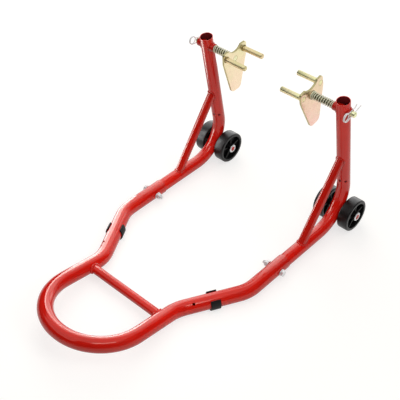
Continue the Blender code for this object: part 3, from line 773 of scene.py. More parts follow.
# The same plastic in the hollows of the wheels, duller and painted darker as their shade
WHEEL_HOLLOW_SHADE = simple_look(
    "black_hollow_painted_shade_shown", (90.0, 4.0, (0.35, (0.002, 0.002, 0.002)), (0.75, (0.007, 0.007, 0.007))),
    (200.0, 3.0, 0.38, 0.55), (1500.0, 2.0, 0.00004), specular=0.16)
RUBBER = simple_look(
    "black_rubber_shown", (120.0, 4.0, (0.35, (0.003, 0.003, 0.003)), (0.75, (0.010, 0.010, 0.010))),
    (300.0, 2.0, 0.45, 0.65), (1100.0, 3.0, 0.00010), specular=0.25)
# Bright zinc plate, a little cloudy and scuffed
ZINC = simple_look(
    "bright_zinc_shown", (260.0, 4.0, (0.3, (0.82, 0.83, 0.84)), (0.7, (0.96, 0.96, 0.97))),
    (420.0, 3.0, 0.20, 0.42), (1800.0, 2.0, 0.00005), 0.5)
# Drawn wire under thin zinc, paler than the bolts
WIRE = simple_look(
    "wire_zinc_shown", (240.0, 3.0, (0.3, (0.92, 0.92, 0.92)), (0.7, (0.98, 0.98, 0.98))),
    (500.0, 3.0, 0.30, 0.44), (1800.0, 2.0, 0.00004), 0.15)
PIN_GOLD = {LEFT: gold_look("left_pin_zinc_shown", (0.72, 0.68, 0.36), (0.88, 0.66, 0.41)),
            RIGHT: gold_look("right_pin_zinc_shown", (0.86, 0.86, 0.46), (0.97, 0.83, 0.54))}
SHAFT_GOLD = shaft_look()
# Cut edges of the plates, rougher and darker than their faces
PLATE_EDGE = simple_look(
    "cut_zinc_shown", (140.0, 3.0, (0.3, (0.42, 0.37, 0.18)), (0.7, (0.60, 0.54, 0.29))),
    (300.0, 3.0, 0.34, 0.52), (900.0, 2.0, 0.00010), 1.0, stretch=SAWN)
PLATE_GOLD = {LEFT: plate_look("left_plate_zinc_shown", (0.87, 0.79, 0.49), (0.95, 0.74, 0.55)),
              RIGHT: plate_look("right_plate_zinc_shown", (0.83, 0.67, 0.45), (0.91, 0.60, 0.51))}
OLIVE = simple_look(
    "spring_zinc_shown", (150.0, 3.0, (0.3, (0.93, 0.93, 0.66)), (0.7, (0.98, 0.98, 0.76))),
    (500.0, 3.0, 0.25, 0.42), (1600.0, 2.0, 0.00005), 0.15)
# Weld beads under the yellow plating
BURNT = simple_look(
    "burnt_zinc_shown", (320.0, 3.0, (0.35, (0.26, 0.22, 0.10)), (0.75, (0.56, 0.47, 0.24))),
    (420.0, 3.0, 0.36, 0.58), (700.0, 3.0, 0.0004), 1.0)


# Welds

def saddle(start, along, radius, other, other_along, other_radius):
    """Closed line where a bar that comes from start meets a round tube."""
    along = along.normalized()
    other_along = other_along.normalized()
    across = along.cross(other_along).normalized()
    beside = along.cross(across)
    points = []
    for k in range(SADDLE_STEPS):
        turn = 2 * math.pi * k / SADDLE_STEPS
        point = start + (across * math.cos(turn) + beside * math.sin(turn)) * radius
        gap = point - other
        gap_flat = gap - other_along * gap.dot(other_along)
        run_flat = along - other_along * along.dot(other_along)
        a = run_flat.dot(run_flat)
        b = 2 * gap_flat.dot(run_flat)
        c = gap_flat.dot(gap_flat) - other_radius ** 2
        root = math.sqrt(max(b * b - 4 * a * c, 0.0))
        points.append(point + along * (-b - root) / (2 * a))
    return points


def bead(name, points, size, material, body, slot):
    """A weld bead along a closed line, in overlapping scales."""
    def radius_at(k):
        scale = (k % WELD_RIPPLE) / WELD_RIPPLE
        drift = 0.10 * math.sin(2.7 * k + len(name)) + 0.06 * math.sin(1.1 * k)
        return size / 2 * (0.88 + 0.24 * scale + drift)

    mesh = wire_mesh(name, points, size, BEAD_SIDES, closed=True, radius_at=radius_at)
    show(name, mesh, material, body, slot)


# Painted tubes

def handle_shown():
    half = HANDLE_WIDTH / 2
    right = [placed(half, GRIP_Y, handle_z(GRIP_Y)), placed(half, JOG_IN_Y, TUBE_Z),
             placed(ARM_X, JOG_OUT_Y, TUBE_Z), placed(ARM_X, 0.0, TUBE_Z)]
    left = [Vector((-p.x, p.y, p.z)) for p in reversed(right)]
    bends = [JOG_BEND_R, JOG_BEND_R, HANDLE_BEND_R]
    path = bent_path(left + right, bends + bends[::-1])
    mesh = tube_mesh("handle_tube_shown", path, HANDLE_OD, HANDLE_WALL, TUBE_SIDES)
    tools = []
    for side in SIDE_NAMES:
        axis = placed(side * jog_x(DRAIN_HOLE_Y), DRAIN_HOLE_Y, TUBE_Z)
        angle = math.radians(DRAIN_HOLE_ANGLE)
        level = Vector((side * JOG_LENGTH, HANDLE_WIDTH / 2 - ARM_X, 0.0)).normalized()
        outward = level * math.cos(angle) + Vector((0.0, 0.0, math.sin(angle)))
        tools.append(("DIFFERENCE", rod_mesh(HANDLE_OD, DRAIN_HOLE_D), rod_matrix(axis, axis + outward)))
        start = placed(side * ARM_X - HANDLE_OD, -BOLT_SETBACK, TUBE_Z)
        tools.append(("DIFFERENCE", rod_mesh(2 * HANDLE_OD, BOLT_D + 2 * GAP), Matrix.Translation(start)))
    stand_in("handle_tube", worked(mesh, tools), RED, "frame", "red_paint")


def coped_tube(node, joints, tube_d, wall, onto_d, weld_size, proud):
    """A straight tube welded between two round ones; joints are (weld, end, other tube's direction)."""
    ends = [end for _, end, _ in joints]
    middle = ends[0].lerp(ends[1], 0.5)
    mesh = tube_mesh(f"{node}_shown", [ends[0], middle, ends[1]], tube_d, wall, ROUND_SIDES)
    tools = []
    for _, end, run in joints:
        notch = rod_mesh(tube_d * 4, onto_d + 2 * GAP, COPE_SIDES)
        tools.append(("DIFFERENCE", notch, rod_matrix(end - run * tube_d * 2, end)))
    stand_in(node, worked(mesh, tools), RED, "frame", "red_paint")
    for weld, end, run in joints:
        onto = onto_d / 2 + proud - WELD_SUNK
        line = saddle(middle, end - middle, tube_d / 2 + proud, end, run, onto)
        bead(weld, line, weld_size, RED_WELD, "frame", "red_paint")


def crossbar_shown():
    leg = Vector((0.0, -1.0, GRIP_SLOPE)).normalized()
    joints = []
    for side, name in SIDE_NAMES.items():
        end = placed(side * HANDLE_WIDTH / 2, CROSSBAR_Y, handle_z(CROSSBAR_Y))
        joints.append((f"{name}_crossbar_weld", end, leg))
    coped_tube("handle_crossbar", joints, CROSSBAR_OD, CROSSBAR_WALL, HANDLE_OD, CROSSBAR_WELD,
               CROSSBAR_PROUD)


def dented(point, spots):
    """Press shallow dimples into a painted surface."""
    for middle, inward in spots:
        gap = (point - middle).length
        if gap < 3 * DENT_WIDTH:
            point = point + inward * DENT_DEPTH * math.exp(-(gap / DENT_WIDTH) ** 2)
    return point


def arm_shown(side):
    """Arm and upright, with two tool marks above the bend: shallow dimples with painted shade."""
    node = f"{SIDE_NAMES[side]}_arm_tube"
    x = side * ARM_X
    corners = [placed(x, -ARM_PLUG, TUBE_Z), placed(x, ARM_REACH, TUBE_Z),
               placed(x, upright_y(UPRIGHT_TOP), UPRIGHT_TOP)]
    path = bent_path(corners, [ARM_BEND_R])
    fine = [placed(x, upright_y(z), z) for z in (DENT_Z + DENT_STEP * k for k in range(-8, 9))]
    path = [p for p in path[:-1] if p.z < fine[0].z - 0.0005] + fine + path[-1:]
    spots = []
    for angle in DENT_ANGLES:
        turn = math.radians(angle)
        outward = Vector((math.cos(turn), math.sin(turn), 0.0))
        middle = placed(x, upright_y(DENT_Z), DENT_Z) + outward * ARM_OD / 2
        spots.append((middle, -outward))
    mesh = tube_mesh(f"{node}_shown", path, ARM_OD, ARM_WALL, TUBE_SIDES, shape=lambda p: dented(p, spots))
    # Painted shade: faces round each dimple take the dark bore material
    for face in mesh.polygons:
        if min((face.center - spot[0]).length for spot in spots) < DENT_SHADE_REACH:
            face.material_index = 1
    stand_in(node, mesh, RED, "frame", "red_paint", second=BORE_AND_DENT_SHADE)


def brace_shown(side):
    node = f"{SIDE_NAMES[side]}_brace"
    x = side * ARM_X
    foot = placed(x, BRACE_FOOT_Y, TUBE_Z)
    head = placed(x, upright_y(BRACE_HEAD_Z), BRACE_HEAD_Z)
    joints = [(f"{node}_foot_weld", foot, Vector((0.0, 1.0, 0.0))),
              (f"{node}_head_weld", head, ALONG_UPRIGHT)]
    coped_tube(node, joints, BRACE_OD, BRACE_WALL, ARM_OD, BRACE_WELD, EDGE)


def sleeve_shown(side):
    name = SIDE_NAMES[side]
    middle = placed(side * ARM_X, upright_y(PIVOT_Z), PIVOT_Z)
    ends = [middle + Vector((x * side, 0.0, 0.0)) for x in (-SLEEVE_IN, 0.0, SLEEVE_OUT[side])]
    mesh = tube_mesh(f"{name}_pivot_sleeve_shown", ends, SLEEVE_OD, SLEEVE_WALL, ROUND_SIDES)
    stand_in(f"{name}_pivot_sleeve", mesh, RED, "frame", "red_paint")
    for place, sign in (("inner", -side), ("outer", side)):
        run = Vector((-sign, 0.0, 0.0))
        line = saddle(middle - run * ARM_OD, run, SLEEVE_OD / 2 + EDGE, middle, ALONG_UPRIGHT, ARM_OD / 2)
        bead(f"{name}_{place}_sleeve_weld", line, SLEEVE_WELD, RED_WELD, "frame", "red_paint")


def axle_shown(side):
    name = SIDE_NAMES[side]
    middle = placed(side * ARM_X, AXLE_Y, AXLE_Z)
    ends = {}
    for outward, place in ((side, "outer"), (-side, "inner")):
        bar = WHEEL_IN[f"{name}_{place}"] - GAP
        tip = bar + GAP + WHEEL_TO_END
        ends[outward] = [(bar, AXLE_BAR_D / 2), (bar, AXLE_D / 2), *nosed(tip, AXLE_D / 2, AXLE_NOSE)]
    profile = [(-u, r) for u, r in reversed(ends[-1])] + ends[1]
    mesh = turned_mesh(f"{name}_axle_shown", profile, ROUND_SIDES, closed=False)
    stand_in(f"{name}_axle", mesh, RED, "frame", "red_paint", Matrix.Translation(middle))
    to_bend = (placed(side * ARM_X, BEND_Y, BEND_Z) - middle).normalized()
    beside = Vector((0.0, -to_bend.z, to_bend.y))

    def radius_at(k):
        taper = math.sin(math.pi * min(max(k / AXLE_WELD_STEPS, 0.04), 0.96)) ** 0.4
        return AXLE_WELD / 2 * taper * (0.9 + 0.2 * (k % WELD_RIPPLE) / WELD_RIPPLE)

    for place, sign in (("upper", 1), ("lower", -1)):
        line = []
        for k in range(AXLE_WELD_STEPS + 1):
            along = -1 + 2 * k / AXLE_WELD_STEPS
            rest = math.sqrt(max(1 - along ** 2, 0.0))
            outer = to_bend * (AXLE_BAR_D / 2 - AXLE_WELD_SUNK * rest)
            line.append(middle + Vector((along * ARM_OD * AXLE_WELD_REACH, 0, 0)) + outer
                        + beside * sign * (AXLE_WELD_SIDE + AXLE_WELD_BULGE * rest))
        weld = wire_mesh(f"{name}_{place}_axle_weld", line, AXLE_WELD, BEAD_SIDES, radius_at=radius_at)
        show(f"{name}_{place}_axle_weld", weld, RED_WELD, "frame", "red_paint")


# Wheels

def wheel_mesh():
    half = WHEEL_WIDTH / 2
    tread = WHEEL_D / 2
    rim = tread - WHEEL_RIM
    bore = AXLE_D / 2 + GAP
    hub = bore + WHEEL_HUB_WALL
    web = WHEEL_WEB / 2

    def flank(sign, hub_end):
        """Corners of one side, from the bore out to the tread."""
        run = [(hub_end, bore), (hub_end, hub), (web, hub + HUB_DRAFT), (web, rim - RIM_DRAFT), (half, rim),
               (half, tread)]
        return [(sign * x, radius) for x, radius in run]

    corners = flank(1, half + WHEEL_HUB_PROUD) + flank(-1, half)[::-1]
    profile = rounded(corners, WHEEL_ROUNDING + WHEEL_ROUNDING[::-1], WHEEL_STEP)
    body = turned_mesh("wheel", profile, WHEEL_SIDES)
    inner = bore + WHEEL_HUB_WALL / 2
    outer = tread - WHEEL_RIM / 2
    depth = half - WHEEL_RIB_INSET
    bm = bmesh.new()
    for k in range(WHEEL_RIBS):
        turn = Matrix.Rotation(2 * math.pi * k / WHEEL_RIBS, 4, "X")
        size = Matrix.Diagonal((2 * depth, WHEEL_RIB_WIDTH, outer - inner, 1.0))
        box = Matrix.Translation((0.0, 0.0, (inner + outer) / 2))
        bmesh.ops.create_cube(bm, size=1.0, matrix=turn @ box @ size)
    bmesh.ops.bevel(bm, geom=bm.edges[:], offset=RIB_EDGE, segments=2, affect="EDGES")
    ribs = finish_mesh("ribs", bm)
    wheel = worked(body, [("UNION", ribs, Matrix.Identity(4))])
    # Faces in the hollows between hub and rim take the second material, the painted shade
    for face in wheel.polygons:
        x, y, z = face.center
        between = hub - HOLLOW_MARGIN < math.hypot(y, z) < rim + HOLLOW_MARGIN
        face.material_index = int(between and abs(x) < half - RIM_EDGE)
    return wheel


def push_nut_mesh():
    """A pressed cap ring, with slots between the tongues that grip the axle."""
    bore = AXLE_D / 2 + GAP
    edge = PUSH_NUT_OD / 2
    thick = PUSH_NUT_THICK
    corners = [(0.0, bore), (0.0, edge), (thick * PUSH_NUT_RIM, edge), (thick, bore + PUSH_NUT_CONE),
               (thick, bore + GAP)]
    body = turned_mesh("push_nut", rounded(corners, [0.0, 0.0003, 0.0005, 0.0006, 0.0003]), NUT_SIDES)
    box = Matrix.Translation((thick, 0.0, bore + SLOT_OUT)) @ Matrix.Diagonal((*SLOT_SIZE, 1.0))
    tools = []
    for k in range(PUSH_NUT_SLOTS):
        turn = Matrix.Rotation(2 * math.pi * (k + 0.5) / PUSH_NUT_SLOTS, 4, "X")
        bm = bmesh.new()
        bmesh.ops.create_cube(bm, size=1.0, matrix=turn @ box)
        tools.append(("DIFFERENCE", finish_mesh("slot", bm), Matrix.Identity(4)))
    return worked(body, tools)


def wheels_shown():
    wheel = wheel_mesh()
    nut = push_nut_mesh()
    for side, side_name in SIDE_NAMES.items():
        for outward, place in ((side, "outer"), (-side, "inner")):
            name = f"{side_name}_{place}"
            axle = Matrix.Translation(placed(side * ARM_X, AXLE_Y, AXLE_Z)) @ facing(outward)
            stand_in(f"{name}_wheel", wheel.copy(), PLASTIC, f"{name}_roller", "black_plastic",
                     axle @ along_x(WHEEL_IN[name] + WHEEL_WIDTH / 2), WHEEL_HOLLOW_SHADE)
            stand_in(f"{name}_push_nut", nut.copy(), ZINC, "frame", "bright_zinc",
                     axle @ along_x(WHEEL_IN[name] + WHEEL_TO_NUT))


# Bolts and feet

def hex_mesh(name, height, both=False):
    """A hexagon along X from 0, with its corners turned off at the far end or at both."""
    corner = BOLT_HEAD_AF / math.sqrt(3)
    flat = BOLT_HEAD_AF / 2 * HEX_FLAT
    over = corner * HEX_OVER
    fall = (corner - flat) * math.tan(math.radians(30))
    body = prism_mesh(name, circle(corner, 6), 0.0, height)
    start = [(0.0, flat), (fall, over)] if both else [(0.0, over)]
    profile = [(0.0, 0.0), *start, (height - fall, over), (height, flat), (height, 0.0)]
    turned = turned_mesh("turning", profile, NUT_SIDES, closed=False)
    return worked(body, [("INTERSECT", turned, Matrix.Identity(4))])


def thread_profile(start, end, radius):
    """Ridges of a thread along X."""
    root = radius - THREAD_DEPTH
    points = [(start, root)]
    x = start
    while x + THREAD_PITCH <= end:
        points += [(x + THREAD_PITCH * 0.5, radius), (x + THREAD_PITCH, root)]
        x += THREAD_PITCH
    return points + [(end, root)]


def washer_mesh(start, thick, hole, outer, sign=1):
    """A flat ring along X or, with a sign of -1, against it."""
    end = start + thick
    corners = [(start, hole), (start, outer), (end, outer), (end, hole)]
    ring = rounded(corners, [EDGE / 2, EDGE, EDGE, EDGE / 2], COARSE_STEP)
    return turned_mesh("washer", [(sign * u, r) for u, r in ring], RING_SIDES)


def clamp_shown(side):
    name = SIDE_NAMES[side]
    place = Matrix.Translation(placed(side * ARM_X, -BOLT_SETBACK, TUBE_Z)) @ facing(side)
    washer_in = HANDLE_OD / 2 + GAP
    washer_out = washer_in + WASHER_THICK
    seat = washer_out + GAP
    nut_out = seat + NUT_H
    radius = BOLT_D / 2
    tip = -nut_out - BOLT_END
    back, drop = BOLT_NOSE
    profile = [(tip, 0.0), (tip, radius - drop), *thread_profile(tip + back, -seat, radius), (-seat, radius),
               (seat + BOLT_HEAD_H / 2, radius), (seat + BOLT_HEAD_H / 2, 0.0)]
    shank = turned_mesh("shank", profile, SHANK_SIDES, closed=False)
    head = hex_mesh("head", BOLT_HEAD_H)
    bolt = worked(shank, [("UNION", head, along_x(seat))])
    stand_in(f"{name}_clamp_bolt", bolt, ZINC, "frame", "bright_zinc", place)
    hole = radius + GAP
    rim = BOLT_HEAD_AF * COLLAR_SHARE
    corners = [(-NUT_COLLAR, hole), (-NUT_COLLAR, rim), (COLLAR_ROOT, rim), (COLLAR_ROOT, hole)]
    collar = turned_mesh("collar", rounded(corners, [EDGE / 2, EDGE * 2, 0.0, 0.0], COARSE_STEP), RING_SIDES)
    nut = hex_mesh("nut", NUT_H - NUT_COLLAR, both=True)
    bore = rod_mesh(NUT_H * 3, 2 * hole, SHANK_SIDES)
    nut = worked(nut, [("UNION", collar, Matrix.Identity(4)), ("DIFFERENCE", bore, along_x(-NUT_H))])
    stand_in(f"{name}_clamp_nut", nut, ZINC, "frame", "bright_zinc", place @ along_x(NUT_COLLAR - nut_out))
    for part, start in (("head", washer_in), ("nut", -washer_out)):
        ring = washer_mesh(start, WASHER_THICK, hole, WASHER_OD / 2)
        stand_in(f"{name}_{part}_washer", ring, ZINC, "frame", "bright_zinc", place)


def foot_shown(side):
    name = SIDE_NAMES[side]
    y = FOOT_Y[side]
    inner = HANDLE_OD / 2 + GAP
    below = TUBE_Z + FOOT_BELLY
    lip = inner + FOOT_LIP
    shift = (below - lip) / (1 + math.cos(math.radians(FOOT_MOUTH)))
    first = 90 + FOOT_MOUTH
    last = 450 - FOOT_MOUTH
    outside = arc((0.0, -shift), below - shift, last, first, FOOT_STEPS)
    outside = [(u, max(v, -TUBE_Z)) for u, v in outside]
    outline = arc((0.0, 0.0), inner, first, last, FOOT_STEPS) + outside
    half = FOOT_LENGTH / 2
    body = worked(prism_mesh("foot", outline, -half, half), bevel=FOOT_EDGE)
    turn = math.atan2(ARM_X - HANDLE_WIDTH / 2, JOG_LENGTH)
    place = Matrix.Translation(placed(side * jog_x(y), y, TUBE_Z))
    place = place @ Matrix.Rotation(math.pi / 2 - side * turn, 4, "Z")
    stand_in(f"{name}_foot", body, RUBBER, "frame", "black_rubber", place)


# Sprung fork adapters

def plate_outline():
    half = PLATE_WIDTH / 2
    tip = PLATE_TIP_WIDTH / 2
    right = [((half, PLATE_HORN), PLATE_HORN_R), ((half, 0.0), PLATE_SIDE_R),
             ((tip, -PLATE_DROP), PLATE_TIP_R)]
    left = [((-u, v), radius) for (u, v), radius in reversed(right)]
    notch_r = (NOTCH_WIDTH ** 2 / 4 + NOTCH_DEPTH ** 2) / (2 * NOTCH_DEPTH)
    spread = math.degrees(math.asin(NOTCH_WIDTH / 2 / notch_r))
    notch = arc((0.0, PLATE_HORN - NOTCH_DEPTH + notch_r), notch_r, 270 - spread, 270 + spread, NOTCH_STEPS)
    corners = [(point, 0.0) for point in notch] + right + left
    return rounded(*zip(*corners), PLATE_STEP)


def spring_points(side):
    radius = SHAFT_D / 2 + SPRING_CLEARANCE + SPRING_WIRE / 2
    closed = SPRING_WIRE + SPRING_CLOSED_GAP
    first = SLEEVE_IN + GAP + SPRING_WIRE / 2
    open_pitch = (SPRING_LENGTH - SPRING_WIRE - 2 * closed) / SPRING_CURLS
    points = []
    for k in range((SPRING_CURLS + 2) * CURL_STEPS + 1):
        curl = k / CURL_STEPS
        opened = min(max(curl - 1, 0), SPRING_CURLS)
        depth = first + closed * (curl - opened) + open_pitch * opened
        angle = 2 * math.pi * curl
        points.append(Vector((-side * depth, radius * math.cos(angle), radius * math.sin(angle))))
    return points


def smooth_through(points, steps):
    """A smooth curve through some points."""
    ends = [2 * points[0] - points[1], *points, 2 * points[-1] - points[-2]]
    run = [points[0]]
    for a, b, c, d in zip(ends, ends[1:], ends[2:], ends[3:]):
        for k in range(1, steps + 1):
            t = k / steps
            run.append(0.5 * (2 * b + (c - a) * t + (2 * a - 5 * b + 4 * c - d) * t ** 2
                              + (3 * b - a - 3 * c + d) * t ** 3))
    return run


def clip_points(side):
    start = side * clip_out(side)
    ring = Vector((-CLIP_RING_REACH, CLIP_RING_R))
    rider = SHAFT_D / 2 + CLIP_WIRE / 2 + GAP
    points = [Vector((start, CLIP_LEG * share, 0.0)) for share in (1.0, 0.75, 0.5, 0.25, 0.0)]
    for k in range(CLIP_STEPS + 1):
        angle = math.radians(270 - CLIP_TURN * k / CLIP_STEPS)
        points.append(Vector((start - CLIP_CLIMB * k / CLIP_STEPS, ring.x + CLIP_RING_R * math.cos(angle),
                              ring.y + CLIP_RING_R * math.sin(angle))))
    last = points[-1]
    bow = [Vector((last.x, reach * SHAFT_D / 2, rider * height)) for reach, height in CLIP_BOW]
    return points + smooth_through([last, *bow], BOW_STEPS)[1:]


def bar_mesh(start, end, radius, nose, sign):
    """A round bar along X or, with a sign of -1, against it, with a blunt start and a chamfered end."""
    profile = [(start, 0.0), (start, radius - EDGE), (start + EDGE, radius), *nosed(end, radius, nose)]
    return turned_mesh("bar", [(sign * u, r) for u, r in profile], ROUND_SIDES, closed=False)


def adapter_shown(side):
    name = SIDE_NAMES[side]
    body = f"{name}_adapter"
    pivot = Matrix.Translation(placed(side * ARM_X, upright_y(PIVOT_Z), PIVOT_Z))
    turned_pivot = pivot @ Matrix.Rotation(math.radians(PLATE_LEAN[side]), 4, "X")
    pins = {"front": -PIN_SPACING / 2, "back": PIN_SPACING / 2}
    low, high = sorted((-side * PLATE_IN, -side * PLATE_OUT))

    plate = prism_mesh("plate", plate_outline(), low, high)
    holes = [(SLEEVE_ID, 0.0, 0.0)] + [(PIN_D + 2 * GAP, y, PIN_RISE) for y in pins.values()]
    tools = [("DIFFERENCE", rod_mesh(3 * PLATE_THICK, size), Matrix.Translation((low - PLATE_THICK, y, z)))
             for size, y, z in holes]
    plate = worked(plate, tools, bevel=PLATE_BEVEL)
    for face in plate.polygons:
        face.material_index = int(abs(face.normal.x) < 0.7)
    stand_in(f"{name}_fork_plate", plate, PLATE_GOLD[side], body, "yellow_zinc", turned_pivot, PLATE_EDGE)

    pin = bar_mesh(PLATE_OUT, PLATE_IN + PIN_LENGTH, PIN_D / 2, PIN_NOSE, -side)
    for end, y in pins.items():
        place = turned_pivot @ Matrix.Translation((0.0, y, PIN_RISE))
        stand_in(f"{name}_{end}_pin", pin.copy(), PIN_GOLD[side], body, "yellow_zinc", place)
        around = circle(PIN_D / 2 + EDGE, PIN_WELD_STEPS, (y, PIN_RISE))
        ring = [turned_pivot @ Vector((-side * (PLATE_IN + EDGE), *point)) for point in around]
        bead(f"{name}_{end}_pin_weld", ring, PIN_WELD, BURNT, body, "yellow_zinc")

    shaft = bar_mesh(-PLATE_IN, clip_out(side) + SHAFT_TAIL, SHAFT_D / 2, SHAFT_NOSE, side)
    tilt = math.radians(CLIP_TILT[side])
    run = Vector((0.0, math.cos(tilt), math.sin(tilt)))
    middle = Vector((side * clip_out(side), 0.0, 0.0))
    hole = rod_mesh(2 * SHAFT_D, CLIP_WIRE + 2 * GAP, HOLE_SIDES)
    shaft = worked(shaft, [("DIFFERENCE", hole, rod_matrix(middle - run * SHAFT_D, middle + run))])
    stand_in(f"{name}_shaft", shaft, SHAFT_GOLD, body, "yellow_zinc", turned_pivot)

    clip = wire_mesh("clip", clip_points(side), CLIP_WIRE, CLIP_SIDES)
    place = turned_pivot @ Matrix.Rotation(tilt, 4, "X")
    stand_in(f"{name}_r_clip", clip, WIRE, body, "bright_zinc", place)

    seat = washer_mesh(SLEEVE_IN + SPRING_LENGTH + 2 * GAP, SEAT_THICK, SLEEVE_ID / 2, SEAT_OD / 2, -side)
    stand_in(f"{name}_spring_seat", seat, OLIVE, f"{name}_seat", "spring_zinc", pivot)

    wire = wire_mesh("spring", spring_points(side), SPRING_WIRE, SPRING_SIDES)
    spring = stand_in(f"{name}_spring", wire, OLIVE, "frame", "spring_zinc", pivot)
    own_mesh(spring)


handle_shown()
crossbar_shown()
for each in SIDE_NAMES:
    arm_shown(each)
    brace_shown(each)
    sleeve_shown(each)
    axle_shown(each)
    clamp_shown(each)
    foot_shown(each)
    adapter_shown(each)
wheels_shown()


# Studio

FLOOR_SIZE = 12.0
FLOOR_DROP = 0.0005
FLOOR_COLOR = (0.42, 0.40, 0.37)
FLOOR_GLOW = (0.70, 0.86)
FLOOR_FADE = (0.7, 2.4)
WORLD_LIGHT = 0.40
WORLD_WHITE = 1.0
WHITE = (1.0, 1.0, 1.0)
CLOTH_COLOR = (0.06, 0.06, 0.06)
CLOTH_DISTANCE = 3.0
CARD_STEPS = 24
SOFTLY = {"interpolation_type": "SMOOTHSTEP"}
LAMPS_AIM = Vector((0.0, 0.05, 0.12))
CAMERA_TURN = 42.547
CAMERA_RISE = 41.237
CAMERA_DISTANCE = 1.9514
CAMERA_AIM = placed(-0.0715, 0.012, 0.0155 + TUBE_Z)
SENSOR = 36.0
FOCAL_SHARE = 845.539 / 400.0


def bearing(turn, rise, distance=1.0):
    """A point round the stand: turn counts from the front to the right, rise from the floor, in degrees."""
    flat = distance * math.cos(math.radians(rise))
    return Vector((flat * math.sin(math.radians(turn)), -flat * math.cos(math.radians(turn)),
                   distance * math.sin(math.radians(rise))))


def seen_rays(tree):
    """1 for rays of the camera and in reflections and glass, else 0."""
    paths = add_node(tree, "LightPath").outputs
    seen = paths["Is Camera Ray"]
    for kind in ("Is Glossy Ray", "Is Transmission Ray"):
        seen = add_node(tree, "Math", {0: seen, 1: paths[kind]}, operation="MAXIMUM").outputs[0]
    return seen


def stage_mesh(name, bm, material):
    mesh = bpy.data.meshes.new(name)
    bm.to_mesh(mesh)
    bm.free()
    mesh.materials.append(material)
    piece = put(name, mesh)
    return piece


def floor():
    """A wide pale floor that reads as white, and still takes the stand's shadow."""
    material = bpy.data.materials.new("floor")
    tree = nodes_of(material)
    tree.nodes.clear()
    matt = add_node(tree, "BsdfDiffuse", {"Color": FLOOR_COLOR})
    place = add_node(tree, "NewGeometry").outputs["Position"]
    reach = add_node(tree, "VectorMath", {0: place}, operation="LENGTH").outputs["Value"]
    level = levels(tree, reach, *FLOOR_FADE, *FLOOR_GLOW, **SOFTLY)
    strength = add_node(tree, "Math", {0: seen_rays(tree), 1: level}, operation="MULTIPLY").outputs[0]
    glow = add_node(tree, "Emission", {"Color": WHITE, "Strength": strength})
    total = add_node(tree, "AddShader", {0: matt.outputs[0], 1: glow.outputs[0]})
    add_node(tree, "OutputMaterial", {"Surface": total.outputs[0]})
    bm = bmesh.new()
    bmesh.ops.create_grid(bm, x_segments=1, y_segments=1, size=FLOOR_SIZE)
    piece = stage_mesh("floor", bm, material)
    piece.location = (0.0, 0.0, -FLOOR_DROP)
    PAINT_LIT.objects.link(piece)


def world():
    """White to the camera and in reflections, softer where it only lights."""
    bpy.context.scene.world = bpy.data.worlds.new("studio")
    tree = nodes_of(bpy.context.scene.world)
    back = tree.nodes["Background"].inputs
    feed(tree, WHITE, back["Color"])
    feed(tree, levels(tree, seen_rays(tree), 0.0, 1.0, WORLD_LIGHT, WORLD_WHITE), back["Strength"])


def aimed(name, data, place, facing_to):
    """A camera or lamp at a place, looking in a direction."""
    holder = put(name, data)
    holder.location = place
    holder.rotation_euler = Vector(facing_to).to_track_quat("-Z", "Y").to_euler()
    return holder


def camera():
    back = bearing(CAMERA_TURN, CAMERA_RISE)
    lens = bpy.data.cameras.new("camera")
    lens.sensor_width = SENSOR
    lens.lens = SENSOR * FOCAL_SHARE
    bpy.context.scene.camera = aimed("camera", lens, CAMERA_AIM + back * CAMERA_DISTANCE, -back)


def dark_cloth():
    look = Look("dark_cloth")
    look.set("Base Color", CLOTH_COLOR)
    look.set("Roughness", 1.0)
    return look.material


def drape(name, material, first, last, low, high, near=CLOTH_DISTANCE, lift=0.0):
    """A dark sheet from one bearing to another, and from a low to a high rise, seen in reflections alone."""
    turns = [first + (last - first) * k / CARD_STEPS for k in range(CARD_STEPS + 1)]
    bm = bmesh.new()
    rows = [[bm.verts.new(bearing(turn, rise, distance) + Vector((0.0, 0.0, lift))) for turn in turns]
            for rise, distance in ((low, near), (high, CLOTH_DISTANCE))]
    for corners in zip(rows[0], rows[0][1:], rows[1][1:], rows[1]):
        bm.faces.new(corners)
    piece = stage_mesh(name, bm, material)
    for kind in ("camera", "diffuse", "shadow"):
        setattr(piece, f"visible_{kind}", False)


def lamp_at(name, place, facing_to, size, power, lit=None, hidden=()):
    """A lamp for the pieces of one collection, or for all, hidden from some kinds of rays."""
    lamp = bpy.data.lights.new(name, "AREA")
    lamp.shape = "RECTANGLE"
    lamp.size, lamp.size_y = size
    lamp.energy = power
    holder = aimed(name, lamp, place, facing_to)
    if lit:
        holder.light_linking.receiver_collection = lit
    for kind in hidden:
        setattr(holder, f"visible_{kind}", False)
    return lamp


def softbox(name, toward, distance, side, power, lit=None, hidden=("glossy",)):
    """A square lamp that looks at the middle of the stand."""
    direction = Vector(toward).normalized()
    lamp_at(name, LAMPS_AIM + direction * distance, -direction, (side, side), power, lit, hidden)


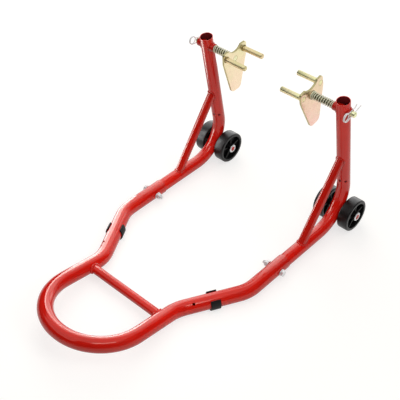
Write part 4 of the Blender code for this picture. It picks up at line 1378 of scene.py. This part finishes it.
def fade_upwards(lamp, low, high, least):
    """Dim a lamp's glow from one height to another."""
    tree = nodes_of(lamp)
    parts = add_node(tree, "SeparateXYZ", {0: add_node(tree, "NewGeometry").outputs["Position"]})
    level = levels(tree, parts.outputs["Z"], low, high, 1.0, least, **SOFTLY)
    feed(tree, level, tree.nodes["Emission"].inputs["Strength"])


def lamps():
    """Lamps that only show in gloss, then the soft ones that light the stand."""
    mirrored = ("camera", "diffuse")
    screen = lamp_at("screen", (-0.412, 0.726, 0.72), (0.603, -0.798, 0.0), (1.26, 1.40), 12.0, PAINT_LIT,
                     mirrored)
    fade_upwards(screen, 1.00, 1.45, 0.30)
    lamp_at("left_panel", (-0.386, 0.055, 0.21), (1.0, 0.0, 0.0), (0.22, 0.42), 2.3, PAINT_LIT, mirrored)
    softbox("back_light", (-0.62, 0.55, 0.56), 2.4, 1.8, 22.0, PAINT_LIT)
    softbox("front_fill", bearing(42.0, 35.0), 2.3, 1.2, 11.5, UPRIGHT_LIT)
    near = lamp_at("left_fill", (0.45, -0.10, 0.50), (-0.61, 0.0, -0.47), (0.25, 0.25), 0.20, PAINT_LIT,
                   ("glossy",))
    near.spread = math.radians(70.0)
    lamp_at("front_strip", (0.985, -0.59, 1.955), (-0.45, 0.29, -0.84), (1.15, 0.32), 6.5,
            hidden=("diffuse",))
    softbox("top_light", (0.0, 0.0, 1.0), 2.4, 2.6, 17.0)
    softbox("top_shine", (0.0, 0.0, 1.0), 2.4, 2.6, 17.0, ZINC_LIT, hidden=())
    softbox("right_light", bearing(95.0, 25.0), 2.3, 1.5, 5.0)


floor()
world()
camera()
cloth = dark_cloth()
drape("left_drape", cloth, -126.0, -75.0, 3.0, 45.0)
drape("front_drape", cloth, -75.0, 5.0, 3.0, 32.0)
drape("right_drape", cloth, 5.0, 150.0, 3.0, 60.0)
drape("front_sheet", cloth, -80.0, 80.0, 0.0, 0.0, near=0.75, lift=0.001)
lamps()
bpy.context.scene.view_settings.view_transform = "Standard"
